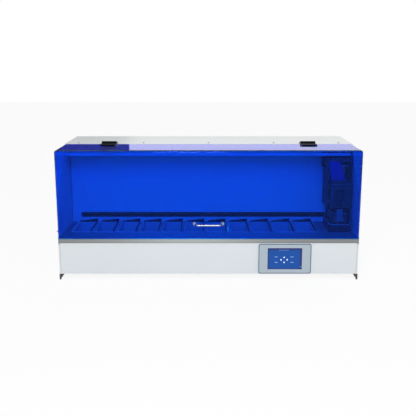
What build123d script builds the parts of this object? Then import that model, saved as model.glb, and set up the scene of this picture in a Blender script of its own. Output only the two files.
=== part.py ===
"""Linear tissue processor: a bench cabinet with a row of reagent tanks, a heated wax bath, a travelling
lift tower that dips a basket, and a hinged tinted cover with a touch display below it.

Frame: millimetres, +X to the operator's right, +Y to the rear, +Z up. The origin is the middle of the
footprint, on the surface that the cabinet stands on. Depths are counted back from the cover's front face.
"""

import math
import os

from build123d import *

os.makedirs("parts", exist_ok=True)

# Cabinet
cover_width = 1326.0
cabinet_depth = 534.0
cabinet_height = 578.0
sheet = 1.5
side_inset = 1.0  # the side plates stand this far inside the cover's width
panel_gap = 2.5
foot_edging_height = 8.0
foot_edging_width = 4.0
foot_leg_height = 24.0
panel_bottom = 27.0
side_return_width = 6.0
flange_depth = 14.0
pan_flange = 8.0
vent_pitch = 14.0
vent_width = 5.0
vent_length = 60.0
vent_height = 110.0

# Deck and tanks
band_bottom = 165.0
band_top = 189.0
deck_top = 187.0
tank_count = 11
tank_gap = 3.0
tank_rim_length = 200.0
tank_rim_thickness = 2.5
tank_flange = 7.0
tank_depth = 125.0
tank_wall = 2.0
tank_taper = 2.0
tank_corner = 12.0
tank_setback = 8.0  # the tanks' middle is this far behind the arm
first_tank_margin = 78.5
grip_margin = 7.0
grip_thickness = 4.0
grip_low = 5.0
grip_high = 15.0
rib_height = 7.0
rib_thickness = 3.0

# Wax bath, the last station
home_margin = 60.0
bath_gap = 147.5  # from the last tank's middle to the bath's
arm_reach = 55.0  # the arm hangs this far in front of the guide rods
bath_width = 96.0
bath_length = 178.0
bath_rise = 34.0
bath_depth = 154.0
bath_wall = 6.0
pot_wall = 1.5
pot_rim = 5.0
heater_thickness = 8.0
seat_gap = 0.3

# Rear wall of the chamber and the slot that the arm travels in
wall_to_beam = 55.0
chamber_gap = 2.5
slot_bottom = 210.0
slot_height = 24.0
slot_end_gap = 2.5

# Cover
cover_bottom = 190.0
cover_thickness = 5.0
cover_top_depth = 219.0
cover_bend = 11.0
cover_inner_bend = 2.5
wing_drop = 15.0
wing_break = 366.0
wing_return = 12.0
cover_gap = 3.0
handle_spacing = 122.0
handle_height = 257.0
handle_reach = 40.0
handle_diameter = 7.0
handle_splay = 11.0
handle_foot_diameter = 14.0
handle_foot_thickness = 3.0
interlock_height = 220.0

# Hinges
hinge_inset = 208.0
hinge_width = 68.0
hinge_depth = 221.0
hinge_rise = 7.0
hinge_leaf_thickness = 5.0
hinge_front_leaf = 56.0
hinge_rear_leaf = 34.0
knuckle_radius = 6.5
knuckle_gap = 0.4
hinge_pin_radius = 3.0
pin_clearance = 0.05

# Roof
roof_strip_depth = 46.0
header_height = 54.0
roof_screw_inset = 58.0
roof_screw_count = 5

# Display
bezel_inset = 328.5
bezel_width = 240.0
bezel_height = 134.0
bezel_thickness = 5.0
bezel_corner = 7.0
screen_width = 153.0
screen_height = 96.0
screen_thickness = 2.0
screen_bezel_depth = 1.2
module_margin = 8.0
module_thickness = 28.0

# Cross drive behind the rear wall
beam_size = 40.0
beam_from_rear = 154.0
beam_bottom = 150.0
beam_end_gap = 20.5
beam_groove = 8.0
post_inset = 80.0
post_wall = 4.0
rail_width = 15.0
rail_height = 12.5
block_width = 34.0
block_length = 58.0
block_height = 18.0
block_lift = 6.0
bridge_thickness = 10.0
bridge_width = 70.0
pulley_teeth = 20
belt_pitch = 5.0
belt_thickness = 2.0
belt_width = 14.0
belt_bottom = 194.0
belt_clearance = 0.3
pulley_to_beam = 30.0
drive_pulley_inset = 12.0
idler_pulley_inset = 8.0
pulley_flange = 2.0
pulley_flange_height = 1.5
pulley_bore_radius = 4.0
motor_size = 42.0
motor_height = 48.0
motor_top = 178.0
bracket_thickness = 5.0
bracket_drop = 30.0
bracket_width = 48.0
clamp_offset = -12.0
clamp_width = 22.0

# Lift tower
tower_width = 110.0
tower_offset = 1.0
tower_bottom = 294.0
tower_head_gap = 61.0
tower_to_wall = 23.0
tower_depth = 122.0
tower_sheet = 2.5
tower_cover_share = 109 / 223  # of the tower's height
tower_cover_width = 98.0
tower_rail_height = 13.0
tower_flange_width = 8.0
recess_width = 40.0
recess_margin = 17.5
recess_rim = 4.0
switch_block = 8.0
switch_block_length = 24.0
switch_block_height = 34.0
brace_top_width = 52.0
brace_bottom_width = 67.0
brace_shift = 19.0
brace_overlap = 5.0
tower_cover_thickness = 30.0
end_plate = 6.0
lower_plate_lift = 3.0
upper_plate_drop = 47.0
guide_spacing = 68.0
guide_radius = 5.0
guide_to_back = 40.0
screw_radius = 4.0
slider_height = 26.0
slider_stop = 7.0
slider_top_gap = 4.0
slider_length = 28.0
slider_width = 92.0
running_clearance = 0.06
lift_motor_size = 42.0
lift_motor_height = 34.0

# Hanger and basket
arm_width = 20.0
arm_thickness = 6.0
hook_height = 277.0
basket_clearance = 17.0
basket_length = 140.0
basket_height = 43.0
basket_bottom = 229.0
basket_wall = 1.2
bail_share = 0.4  # of the basket's width
bail_thickness = 2.0
bail_top = 290.0
bail_foot_spread = 10.0
bail_foot_height = 18.0

# Rear panel fittings
fan_x = 0.0
fan_drop = 148.0
fan_size = 120.0
fan_thickness = 25.0
fan_rim = 3.0
fan_hub_radius = 20.0
fan_blades = 7
fan_blade_thickness = 2.5
guard_reach = 9.0
guard_wire = 2.2
guard_rings = (46.0, 32.0, 18.0)
inlet_inset = 142.0
inlet_height = 90.0
inlet_width = 48.0
inlet_tall = 32.0
switch_gap = 68.0
switch_width = 22.0
switch_height = 30.0

# Control board and power supply
board_length = 180.0
board_width = 120.0
board_thickness = 1.6
board_lift = 8.0
board_inset = 7.0
supply_length = 160.0
supply_width = 110.0
supply_height = 50.0
electronics_from_rear = 99.0
board_from_right = 482.0
supply_from_right = 262.0

# Places that follow from the sizes above
front = handle_reach - (cabinet_depth + handle_reach + guard_reach) / 2
rear = front + cabinet_depth
half_width = cover_width / 2
side_outer = half_width - side_inset
side_inner = side_outer - sheet
chamber_half_width = side_inner - chamber_gap
home_x = chamber_half_width - home_margin
first_tank_x = first_tank_margin - chamber_half_width
tank_pitch = (home_x - bath_gap - first_tank_x) / (tank_count - 1)
tank_rim_width = tank_pitch - tank_gap
grip_length = tank_rim_width - 2 * grip_margin
roof_screw_spacing = 2 * (side_outer - roof_screw_inset) / (roof_screw_count - 1)
hinge_x = half_width - hinge_inset
bezel_x = half_width - bezel_inset
deck_bottom = deck_top - sheet
roof_bottom = cabinet_height - sheet
hinge_axis_y = front + hinge_depth
hinge_axis_z = cabinet_height + hinge_rise
beam_depth = cabinet_depth - beam_from_rear
pulley_depth = beam_depth - pulley_to_beam
rear_wall_depth = beam_depth - wall_to_beam
tower_back_depth = rear_wall_depth - tower_to_wall
tower_front_depth = tower_back_depth - tower_depth
tower_cover_depth = tower_front_depth - tower_cover_thickness
guide_depth = tower_back_depth - guide_to_back
dip_depth = guide_depth - arm_reach
tank_centre_depth = dip_depth + tank_setback
electronics_depth = cabinet_depth - electronics_from_rear
tank_y = front + tank_centre_depth
dip_y = front + dip_depth
rail_y = front + beam_depth + beam_size / 2
rail_bottom = beam_bottom + beam_size
block_bottom = rail_bottom + block_lift
block_top = block_bottom + block_height
pulley_y = front + pulley_depth
pitch_radius = pulley_teeth * belt_pitch / (2 * math.pi)
pulley_radius = pitch_radius - belt_thickness / 4
belt_inner = pulley_radius + belt_clearance
belt_outer = belt_inner + belt_thickness
guide_y = front + guide_depth
slot_left = first_tank_x - bridge_width / 2 - slot_end_gap
slot_right = home_x + bridge_width / 2 + slot_end_gap
bath_top = deck_top + bath_rise
beam_half_length = side_inner - beam_end_gap
drive_pulley_x = drive_pulley_inset - beam_half_length
idler_pulley_x = beam_half_length - idler_pulley_inset
tower_top = cabinet_height - tower_head_gap
tower_cover_top = tower_bottom + tower_cover_share * (tower_top - tower_bottom)
lower_plate_bottom = tower_bottom + lower_plate_lift
upper_plate_bottom = tower_top - upper_plate_drop
slider_low = lower_plate_bottom + end_plate + slider_stop
lift_travel = upper_plate_bottom - slider_top_gap - slider_height - slider_low
basket_width = tank_rim_width - 2 * basket_clearance
bail_width = bail_share * basket_width
fan_height = cabinet_height - fan_drop
fan_bore_radius = fan_size / 2 - fan_rim
inlet_x = side_outer - inlet_inset
switch_x = inlet_x - switch_gap
supply_x = side_outer - supply_from_right
board_x = side_outer - board_from_right


def at(depth):
    """The Y of a place this far behind the cover's front face."""
    return front + depth


def facing(y):
    """An upright plane at this Y, seen from the front: a negative extrusion goes to the rear."""
    return Plane.XZ.offset(-y)


def save(part, name):
    """Names a finished piece and writes its STEP file."""
    part.label = name
    export_step(part, f"parts/{name}.step")


# Side plates, cut back along the cover's slanting wings, with a narrow return beside the front panel
wing_run = cover_top_depth - wing_return
wing_rise = cabinet_height - wing_drop - wing_break
wing_slope = math.hypot(wing_run, wing_rise)
wing_shift = cover_gap * wing_slope / wing_run
for name, sign in (("left_side_plate", -1), ("right_side_plate", 1)):
    with BuildPart() as side_plate:
        with BuildSketch(Plane.YZ.offset(sign * side_outer)):
            with BuildLine():
                Polyline(
                    (at(sheet), foot_edging_height / 2),
                    (at(sheet), deck_top),
                    (at(wing_return + cover_gap), deck_top),
                    (at(wing_return + cover_gap), wing_break - wing_shift / 2),
                    (at(cover_top_depth + cover_gap), cabinet_height - wing_drop - wing_shift / 2),
                    (at(cover_top_depth + cover_gap), roof_bottom),
                    (rear - sheet, roof_bottom),
                    (rear - sheet, foot_edging_height / 2),
                    close=True,
                )
            make_face()
        extrude(amount=-sign * sheet)
        with BuildSketch(facing(at(0))):
            return_x = sign * (side_outer - side_return_width / 2)
            with Locations((return_x, (band_bottom + foot_edging_height) / 2)):
                Rectangle(side_return_width, band_bottom - foot_edging_height - panel_gap * 2)
        extrude(amount=-sheet)
    save(side_plate.part, name)

# Rubber edging on each side plate, which the cabinet stands on: a groove and a taller leg on the inside
with BuildPart() as foot_edgings:
    with BuildSketch(facing(at(sheet))):
        for sign in (-1, 1):
            edging_x = sign * (side_outer - sheet / 2)
            with Locations((edging_x, foot_edging_height / 2)):
                Rectangle(foot_edging_width, foot_edging_height)
            leg_thickness = (foot_edging_width - sheet) / 2
            with Locations((sign * (side_inner - leg_thickness / 2), foot_leg_height / 2)):
                Rectangle(leg_thickness, foot_leg_height)
            with Locations((edging_x, foot_edging_height * 3 / 4)):
                Rectangle(sheet, foot_edging_height / 2, mode=Mode.SUBTRACT)
    extrude(amount=-(cabinet_depth - 2 * sheet))
    fillet(foot_edgings.edges().filter_by(Axis.Y).group_by(Axis.Z)[0], 1.0)
save(foot_edgings.part, "foot_edgings")

# Bottom pan with upturned flanges and rows of cooling slots under the electronics
pan_front = at(sheet + 1)
pan_rear = rear - sheet - 0.5
pan_half = side_inner - 0.5
with BuildPart() as bottom_pan:
    with BuildSketch(Plane.XY.offset(panel_bottom)):
        with Locations((0, (pan_front + pan_rear) / 2)):
            Rectangle(2 * pan_half, pan_rear - pan_front)
    extrude(amount=sheet)
    with BuildSketch(Plane.XY.offset(panel_bottom + sheet)):
        with Locations((-pan_half + sheet / 2, 0), (pan_half - sheet / 2, 0)):
            with Locations((0, (pan_front + pan_rear) / 2)):
                Rectangle(sheet, pan_rear - pan_front)
        with Locations((0, pan_front + sheet / 2), (0, pan_rear - sheet / 2)):
            Rectangle(2 * pan_half, sheet)
    extrude(amount=pan_flange)
    with BuildSketch(Plane.XY.offset(panel_bottom)):
        with Locations((-pan_half / 2, at(electronics_depth)), (pan_half / 2, at(electronics_depth))):
            with GridLocations(vent_pitch, 0, 9, 1):
                Rectangle(vent_width, vent_length)
    extrude(amount=sheet, mode=Mode.SUBTRACT)
save(bottom_pan.part, "bottom_pan")

# Front panel, a shallow folded pan with the window for the display module
panel_half = side_outer - side_return_width - 0.8
panel_top = band_bottom - panel_gap
panel_middle = (panel_bottom + panel_top) / 2
module_width = screen_width + 2 * module_margin
module_height = screen_height + 2 * module_margin
with BuildPart() as front_panel:
    with BuildSketch(facing(at(0))):
        with Locations((0, panel_middle)):
            Rectangle(2 * panel_half, panel_top - panel_bottom)
        with Locations((bezel_x, panel_middle)):
            Rectangle(module_width + 1, module_height + 1, mode=Mode.SUBTRACT)
    extrude(amount=-sheet)
    with BuildSketch(facing(at(sheet))):
        with Locations((0, panel_top - sheet / 2)):
            Rectangle(2 * panel_half, sheet)
    extrude(amount=-flange_depth)
    fillet(front_panel.edges().filter_by(Axis.X).group_by(Axis.Y)[0].group_by(Axis.Z)[-1], 1.0)
save(front_panel.part, "front_panel")

# Rear panel with the fan opening, the power inlet's window, the switch's window and cooling slots
with BuildPart() as rear_panel:
    with BuildSketch(facing(rear - sheet)):
        with Locations((0, (panel_bottom + roof_bottom) / 2)):
            Rectangle(2 * side_outer, roof_bottom - panel_bottom)
        with Locations((fan_x, fan_height)):
            Circle(fan_bore_radius, mode=Mode.SUBTRACT)
        with Locations((inlet_x, inlet_height)):
            Rectangle(inlet_width - 8, inlet_tall - 6, mode=Mode.SUBTRACT)
        with Locations((switch_x, inlet_height)):
            Rectangle(switch_width + 0.6, switch_height + 0.6, mode=Mode.SUBTRACT)
        with Locations((-side_outer * 0.65, vent_height), (side_outer * 0.1, vent_height)):
            with GridLocations(vent_pitch, 0, 14, 1):
                SlotOverall(vent_length, vent_width, rotation=90, mode=Mode.SUBTRACT)
    extrude(amount=-sheet)
save(rear_panel.part, "rear_panel")

# Roof: a fixed front strip that folds down as the header beam, and the plain roof panel behind it
strip_front = at(cover_top_depth + cover_gap)
strip_rear = strip_front + roof_strip_depth
with BuildPart() as roof_header:
    with BuildSketch(Plane.YZ.offset(-side_outer)):
        with BuildLine():
            Polyline(
                (strip_front, cabinet_height),
                (strip_rear, cabinet_height),
                (strip_rear, roof_bottom),
                (strip_front + sheet, roof_bottom),
                (strip_front + sheet, cabinet_height - header_height + sheet),
                (strip_front + flange_depth, cabinet_height - header_height + sheet),
                (strip_front + flange_depth, cabinet_height - header_height),
                (strip_front, cabinet_height - header_height),
                close=True,
            )
        make_face()
    extrude(amount=2 * side_outer)
    with BuildSketch(Plane.XY.offset(roof_bottom)):
        for sign in (-1, 1):
            with Locations((sign * (side_outer - sheet / 2), (strip_front + strip_rear) / 2)):
                Rectangle(sheet + 0.4, strip_rear - strip_front)
    extrude(amount=-header_height, mode=Mode.SUBTRACT)
save(roof_header.part, "roof_header")

with BuildPart() as roof_panel:
    with BuildSketch(Plane.XY.offset(roof_bottom)):
        with Locations((0, (strip_rear + rear) / 2 + 0.25)):
            Rectangle(2 * side_outer, rear - strip_rear - 0.5)
    extrude(amount=sheet)
    fillet(roof_panel.edges().filter_by(Axis.X).group_by(Axis.Y)[-1].group_by(Axis.Z)[-1], 1.0)
save(roof_panel.part, "roof_panel")

# Screws along the roof strip, resting on the sheet, as one group of separate solids
with BuildPart() as roof_screws:
    with BuildSketch(Plane.XY.offset(cabinet_height)):
        with Locations((0, strip_rear - 5)):
            with GridLocations(roof_screw_spacing, 0, roof_screw_count, 1):
                Circle(3.5)
    extrude(amount=2.0)
    chamfer(roof_screws.edges().filter_by(GeomType.CIRCLE).group_by(Axis.Z)[-1], 0.8)
save(roof_screws.part, "roof_screws")

# Chamber rear wall, with the long slot for the travelling arm and a foot flange on the deck
wall_front = at(rear_wall_depth)
with BuildPart() as rear_wall:
    with BuildSketch(facing(wall_front)):
        with Locations((0, (deck_top + roof_bottom) / 2)):
            Rectangle(2 * chamber_half_width, roof_bottom - deck_top - 0.6)
        slot_length = slot_right - slot_left
        with Locations(((slot_left + slot_right) / 2, slot_bottom + slot_height / 2)):
            Rectangle(slot_length, slot_height, mode=Mode.SUBTRACT)
    extrude(amount=-sheet)
    with BuildSketch(Plane.XY.offset(deck_top + 0.3)):
        with Locations((0, wall_front + flange_depth / 2)):
            Rectangle(2 * chamber_half_width, flange_depth)
    extrude(amount=sheet)
save(rear_wall.part, "rear_wall")

# Stainless deck: a folded sheet whose front lip is the bright band across the cabinet
opening_length = tank_rim_length - 2 * tank_flange
row_width = tank_pitch * (tank_count - 1) + tank_rim_width - 2 * tank_flange
row_centre = first_tank_x + tank_pitch * (tank_count - 1) / 2
drive_front = wall_front + flange_depth + 0.5
drive_rear = rear - 30
with BuildPart() as deck:
    with BuildSketch(Plane.YZ.offset(-side_outer)):
        with BuildLine():
            Polyline(
                (at(0), band_bottom),
                (at(0), band_top),
                (at(sheet * 2), band_top),
                (at(sheet * 4), deck_top),
                (at(flange_depth), deck_top),
                (at(flange_depth), deck_bottom),
                (at(sheet), deck_bottom),
                (at(sheet), band_bottom),
                close=True,
            )
        make_face()
    extrude(amount=2 * side_outer)
    with BuildSketch(Plane.XY.offset(band_top)):
        for sign in (-1, 1):
            with Locations((sign * side_outer, at(sheet + flange_depth / 2))):
                Rectangle(2 * (side_outer - side_inner) + 0.6, flange_depth)
    extrude(amount=band_bottom - band_top, mode=Mode.SUBTRACT)
    with BuildSketch(Plane.XY.offset(deck_bottom)):
        deck_rear = rear - sheet - 1
        with Locations((0, (at(flange_depth) + deck_rear) / 2)):
            Rectangle(2 * (side_inner - 0.3), deck_rear - at(flange_depth))
        with Locations((row_centre, tank_y)):
            Rectangle(row_width, opening_length, mode=Mode.SUBTRACT)
        with Locations((home_x, dip_y)):
            Rectangle(bath_width - bath_wall, bath_length - bath_wall, mode=Mode.SUBTRACT)
        with Locations((0, (drive_front + drive_rear) / 2)):
            Rectangle(2 * (beam_half_length + 12), drive_rear - drive_front, mode=Mode.SUBTRACT)
    extrude(amount=sheet)
    fillet(deck.edges().filter_by(Axis.X).group_by(Axis.Y)[0].group_by(Axis.Z)[-1], 1.4)
save(deck.part, "deck")

# Reagent tanks: drawn plastic troughs that hang by their rims in the deck's long opening
body_width = tank_rim_width - 2 * tank_flange - 1
body_length = tank_rim_length - 2 * tank_flange - 1
tank_xs = [first_tank_x + i * tank_pitch for i in range(tank_count)]
rim_top = deck_top + tank_rim_thickness
for number, tank_x in enumerate(tank_xs, 1):
    with BuildPart() as tank:
        with BuildSketch(Plane.XY.offset(deck_top)):
            with Locations((tank_x, tank_y)):
                RectangleRounded(tank_rim_width, tank_rim_length, tank_corner)
        extrude(amount=tank_rim_thickness)
        with BuildSketch(Plane.XY.offset(deck_top)):
            with Locations((tank_x, tank_y)):
                RectangleRounded(body_width, body_length, tank_corner - 2)
        extrude(amount=-tank_depth, taper=tank_taper)
        with BuildSketch(Plane.XY.offset(rim_top)):
            with Locations((tank_x, tank_y)):
                RectangleRounded(body_width - 2 * tank_wall, body_length - 2 * tank_wall, tank_corner - 4)
        extrude(
            amount=tank_wall - tank_depth - tank_rim_thickness, taper=tank_taper, mode=Mode.SUBTRACT
        )
    save(tank.part, f"tank_{number:02d}")

# Dark grip along the rear rim of each tank, higher at the right for a finger, and the rib in front of it
grip_y = tank_y + tank_rim_length / 2 - tank_flange / 2
with BuildPart() as tank_grips:
    with BuildSketch(facing(grip_y - grip_thickness / 2)):
        for tank_x in tank_xs:
            with BuildLine():
                Polyline(
                    (tank_x - grip_length / 2, rim_top),
                    (tank_x - grip_length / 2, rim_top + grip_low),
                    (tank_x + grip_length / 2, rim_top + grip_high),
                    (tank_x + grip_length / 2, rim_top),
                    close=True,
                )
            make_face()
    extrude(amount=-grip_thickness)
    rib_front = tank_y - tank_rim_length / 2 + tank_flange
    with BuildSketch(Plane.XY.offset(rim_top)):
        for tank_x in tank_xs:
            with Locations((tank_x + (grip_length - rib_thickness) / 2, (rib_front + grip_y) / 2)):
                Rectangle(rib_thickness, grip_y - rib_front)
    extrude(amount=rib_height)
save(tank_grips.part, "tank_grips")

# Wax bath: an insulated dark housing that stands proud of the deck, with the steel pot hung in it
with BuildPart() as bath_housing:
    with BuildSketch(Plane.XY.offset(deck_top)):
        with Locations((home_x, dip_y)):
            RectangleRounded(bath_width, bath_length, 6)
    extrude(amount=bath_rise)
    fillet(bath_housing.edges().group_by(Axis.Z)[-1], 2.5)
    with BuildSketch(Plane.XY.offset(deck_top)):
        with Locations((home_x, dip_y)):
            RectangleRounded(bath_width - bath_wall - 1, bath_length - bath_wall - 1, 6)
    extrude(amount=bath_rise - bath_depth)
    with BuildSketch(Plane.XY.offset(bath_top)):
        with Locations((home_x, dip_y)):
            RectangleRounded(bath_width - 2 * bath_wall, bath_length - 2 * bath_wall, 5)
    extrude(amount=heater_thickness - bath_depth, mode=Mode.SUBTRACT)
save(bath_housing.part, "bath_housing")

# The pot's rim rests on the housing, and a heater plate is clamped under its floor
pot_width = bath_width - 2 * bath_wall - 2 * seat_gap
pot_length = bath_length - 2 * bath_wall - 2 * seat_gap
pot_floor = bath_top - bath_depth + 2 * heater_thickness + 2 * seat_gap
with BuildPart() as wax_pot:
    with BuildSketch(Plane.XY.offset(bath_top)):
        with Locations((home_x, dip_y)):
            RectangleRounded(pot_width + 2 * pot_rim, pot_length + 2 * pot_rim, 8)
    extrude(amount=pot_wall)
    with BuildSketch(Plane.XY.offset(bath_top)):
        with Locations((home_x, dip_y)):
            RectangleRounded(pot_width, pot_length, 4.5)
    extrude(amount=pot_floor - bath_top)
    with BuildSketch(Plane.XY.offset(bath_top + pot_wall)):
        with Locations((home_x, dip_y)):
            RectangleRounded(pot_width - 2 * pot_wall, pot_length - 2 * pot_wall, 3)
    extrude(amount=pot_floor - bath_top, mode=Mode.SUBTRACT)
    with BuildSketch(Plane.XY.offset(pot_floor - seat_gap)):
        with Locations((home_x, dip_y)):
            RectangleRounded(pot_width - 4, pot_length - 4, 4)
    extrude(amount=-heater_thickness)
save(wax_pot.part, "wax_pot")

# Tinted cover: front and top sheets bent in one piece, with wings that narrow down the sides
with BuildPart() as cover_shell:
    with BuildSketch(Plane.YZ.offset(-half_width)):
        with BuildLine():
            Polyline(
                (at(0), cover_bottom),
                (at(0), cabinet_height),
                (at(cover_top_depth), cabinet_height),
                (at(cover_top_depth), cabinet_height - wing_drop),
                (at(wing_return), wing_break),
                (at(wing_return), cover_bottom),
                close=True,
            )
        make_face()
    extrude(amount=cover_width)
    upright_corners = cover_shell.edges().filter_by(Axis.Z).group_by(Axis.Y)[0]
    crest = cover_shell.edges().filter_by(Axis.X).group_by(Axis.Z)[-1].sort_by(Axis.Y)[0]
    shoulders = cover_shell.edges().filter_by(Axis.Y).group_by(Axis.Z)[-1]
    fillet([*upright_corners, crest, *shoulders], cover_bend)
    with BuildPart(mode=Mode.PRIVATE) as cover_hollow:
        with BuildSketch(Plane.YZ.offset(cover_thickness - half_width)):
            with BuildLine():
                Polyline(
                    (at(cover_thickness), cover_bottom - 1),
                    (at(cover_thickness), cabinet_height - cover_thickness),
                    (at(cover_top_depth + 1), cabinet_height - cover_thickness),
                    (at(cover_top_depth + 1), cover_bottom - 1),
                    close=True,
                )
            make_face()
        extrude(amount=cover_width - 2 * cover_thickness)
        hollow_corners = cover_hollow.edges().filter_by(Axis.Z).group_by(Axis.Y)[0]
        hollow_crest = cover_hollow.edges().filter_by(Axis.X).group_by(Axis.Z)[-1].sort_by(Axis.Y)[0]
        hollow_shoulders = cover_hollow.edges().filter_by(Axis.Y).group_by(Axis.Z)[-1]
        fillet([*hollow_corners, hollow_crest, *hollow_shoulders], cover_inner_bend)
    add(cover_hollow.part, mode=Mode.SUBTRACT)
save(cover_shell.part, "cover_shell")

# Wire pull handle: a bent bar whose legs splay to two round feet, screwed through the cover
grip_half = handle_spacing / 2 - handle_splay
bar_y = front - handle_reach + handle_diameter / 2
with BuildPart() as cover_handle:
    with BuildLine() as handle_path:
        FilletPolyline(
            (-handle_spacing / 2, at(0) - handle_foot_thickness, handle_height),
            (-grip_half, bar_y, handle_height),
            (grip_half, bar_y, handle_height),
            (handle_spacing / 2, at(0) - handle_foot_thickness, handle_height),
            radius=7,
        )
    with BuildSketch(Plane(handle_path.line @ 0, z_dir=handle_path.line % 0)):
        Circle(handle_diameter / 2)
    sweep()
    with BuildSketch(facing(at(0))):
        with Locations((-handle_spacing / 2, handle_height), (handle_spacing / 2, handle_height)):
            Circle(handle_foot_diameter / 2)
    extrude(amount=handle_foot_thickness + 1)
save(cover_handle.part, "cover_handle")

# Screw heads of the handle inside the cover, and the cap nut of the interlock tongue on its left wing
nut_thickness = 2.5
with BuildPart() as cover_fasteners:
    with BuildSketch(facing(at(cover_thickness))):
        with Locations((-handle_spacing / 2, handle_height), (handle_spacing / 2, handle_height)):
            Circle(4.5)
    extrude(amount=-2.5)
    with BuildSketch(Plane.YZ.offset(-half_width)):
        with Locations((at(wing_return / 2 + 1), interlock_height)):
            RegularPolygon(3.6, 6)
    extrude(amount=-nut_thickness)
    with BuildSketch(Plane.YZ.offset(-half_width - nut_thickness)):
        with Locations((at(wing_return / 2 + 1), interlock_height)):
            Circle(2.6)
    extrude(amount=-nut_thickness, taper=20)
save(cover_fasteners.part, "cover_fasteners")

# Hinges: on the roof strip a leaf with two knuckles that hold the pin, on the cover a leaf with one
knuckle_width = hinge_width / 3
leaf_start = knuckle_radius + knuckle_gap
with BuildPart() as roof_leaves:
    for centre_x in (-hinge_x, hinge_x):
        with BuildSketch(Plane.XY.offset(cabinet_height)):
            with Locations((centre_x, hinge_axis_y + leaf_start + hinge_rear_leaf / 2)):
                Rectangle(hinge_width, hinge_rear_leaf)
        extrude(amount=hinge_leaf_thickness)
        with BuildSketch(Plane.YZ.offset(centre_x - hinge_width / 2)):
            with Locations((hinge_axis_y, hinge_axis_z)):
                Circle(knuckle_radius)
            with Locations((hinge_axis_y + knuckle_radius, cabinet_height + hinge_leaf_thickness / 2)):
                Rectangle(knuckle_radius * 2, hinge_leaf_thickness)
        extrude(amount=hinge_width)
        with BuildSketch(Plane.YZ.offset(centre_x - knuckle_width / 2 - knuckle_gap)):
            with Locations((hinge_axis_y, hinge_axis_z)):
                Rectangle(2 * knuckle_radius + 2, 2 * knuckle_radius + 2)
        extrude(amount=knuckle_width + 2 * knuckle_gap, mode=Mode.SUBTRACT)
        with BuildSketch(Plane.YZ.offset(centre_x - hinge_width / 2)):
            with Locations((hinge_axis_y, hinge_axis_z)):
                Circle(hinge_pin_radius)
        extrude(amount=hinge_width)
    leaf_tops = roof_leaves.faces().filter_by(Axis.Z).filter_by(
        lambda face: abs(face.center().Z - cabinet_height - hinge_leaf_thickness) < 0.01
    )
    chamfer(leaf_tops.edges().filter_by(Axis.X).group_by(Axis.Y)[-1], 2.0)
save(roof_leaves.part, "roof_leaves")

with BuildPart() as cover_leaves:
    for centre_x in (-hinge_x, hinge_x):
        with BuildSketch(Plane.XY.offset(cabinet_height)):
            with Locations((centre_x, hinge_axis_y - leaf_start - hinge_front_leaf / 2)):
                Rectangle(hinge_width, hinge_front_leaf)
        extrude(amount=hinge_leaf_thickness)
        with BuildSketch(Plane.YZ.offset(centre_x - knuckle_width / 2)):
            with Locations((hinge_axis_y, hinge_axis_z)):
                Circle(knuckle_radius)
            with Locations((hinge_axis_y - knuckle_radius, cabinet_height + hinge_leaf_thickness / 2)):
                Rectangle(knuckle_radius * 2, hinge_leaf_thickness)
        extrude(amount=knuckle_width)
        with BuildSketch(Plane.YZ.offset(centre_x - knuckle_width / 2)):
            with Locations((hinge_axis_y, hinge_axis_z)):
                Circle(hinge_pin_radius + pin_clearance)
        extrude(amount=knuckle_width, mode=Mode.SUBTRACT)
    leaf_tops = cover_leaves.faces().filter_by(Axis.Z).filter_by(
        lambda face: abs(face.center().Z - cabinet_height - hinge_leaf_thickness) < 0.01
    )
    chamfer(leaf_tops.edges().filter_by(Axis.X).group_by(Axis.Y)[0], 2.0)
save(cover_leaves.part, "cover_leaves")

# Display: a plastic bezel over the panel's window, the touch glass in it and the module behind
with BuildPart() as display_bezel:
    with BuildSketch(facing(at(0))):
        with Locations((bezel_x, panel_middle)):
            RectangleRounded(bezel_width, bezel_height, bezel_corner)
            Rectangle(screen_width + 0.4, screen_height + 0.4, mode=Mode.SUBTRACT)
    extrude(amount=bezel_thickness)
    outer_rim = display_bezel.edges().group_by(Axis.Y)[0].filter_by(
        lambda edge: edge.bounding_box().size.X > 200 or edge.bounding_box().size.Z > 100
    )
    chamfer(outer_rim, 1.2)
save(display_bezel.part, "display_bezel")

with BuildPart() as display_glass:
    with BuildSketch(facing(at(0) - bezel_thickness + screen_bezel_depth)):
        with Locations((bezel_x, panel_middle)):
            Rectangle(screen_width, screen_height)
    extrude(amount=-screen_thickness)
save(display_glass.part, "display_glass")

with BuildPart() as display_module:
    with BuildSketch(facing(at(0))):
        with Locations((bezel_x, panel_middle)):
            Rectangle(module_width, module_height)
    extrude(amount=-module_thickness)
    with BuildSketch(facing(at(0))):
        with Locations((bezel_x, panel_middle)):
            Rectangle(screen_width, screen_height)
    extrude(amount=bezel_thickness - screen_bezel_depth - screen_thickness)
save(display_module.part, "display_module")

# Control board and power supply on the bottom pan
floor_z = panel_bottom + sheet
with BuildPart() as control_board:
    with BuildSketch(Plane.XY.offset(floor_z + board_lift)):
        with Locations((board_x, at(electronics_depth))):
            Rectangle(board_length, board_width)
    extrude(amount=board_thickness)
    with BuildSketch(Plane.XY.offset(floor_z)):
        with Locations((board_x, at(electronics_depth))):
            with GridLocations(board_length - 2 * board_inset, board_width - 2 * board_inset, 2, 2):
                Circle(board_inset / 2)
    extrude(amount=board_lift)
    with BuildSketch(Plane.XY.offset(floor_z + board_lift + board_thickness)):
        with Locations((board_x, at(electronics_depth))):
            with GridLocations(board_length / 4, 0, 3, 1):
                Rectangle(board_length / 8, board_width / 4)
            with Locations((0, board_width * 0.4)):
                Rectangle(board_length * 0.7, board_width / 12)
    extrude(amount=1.5 * board_lift)
save(control_board.part, "control_board")

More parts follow.
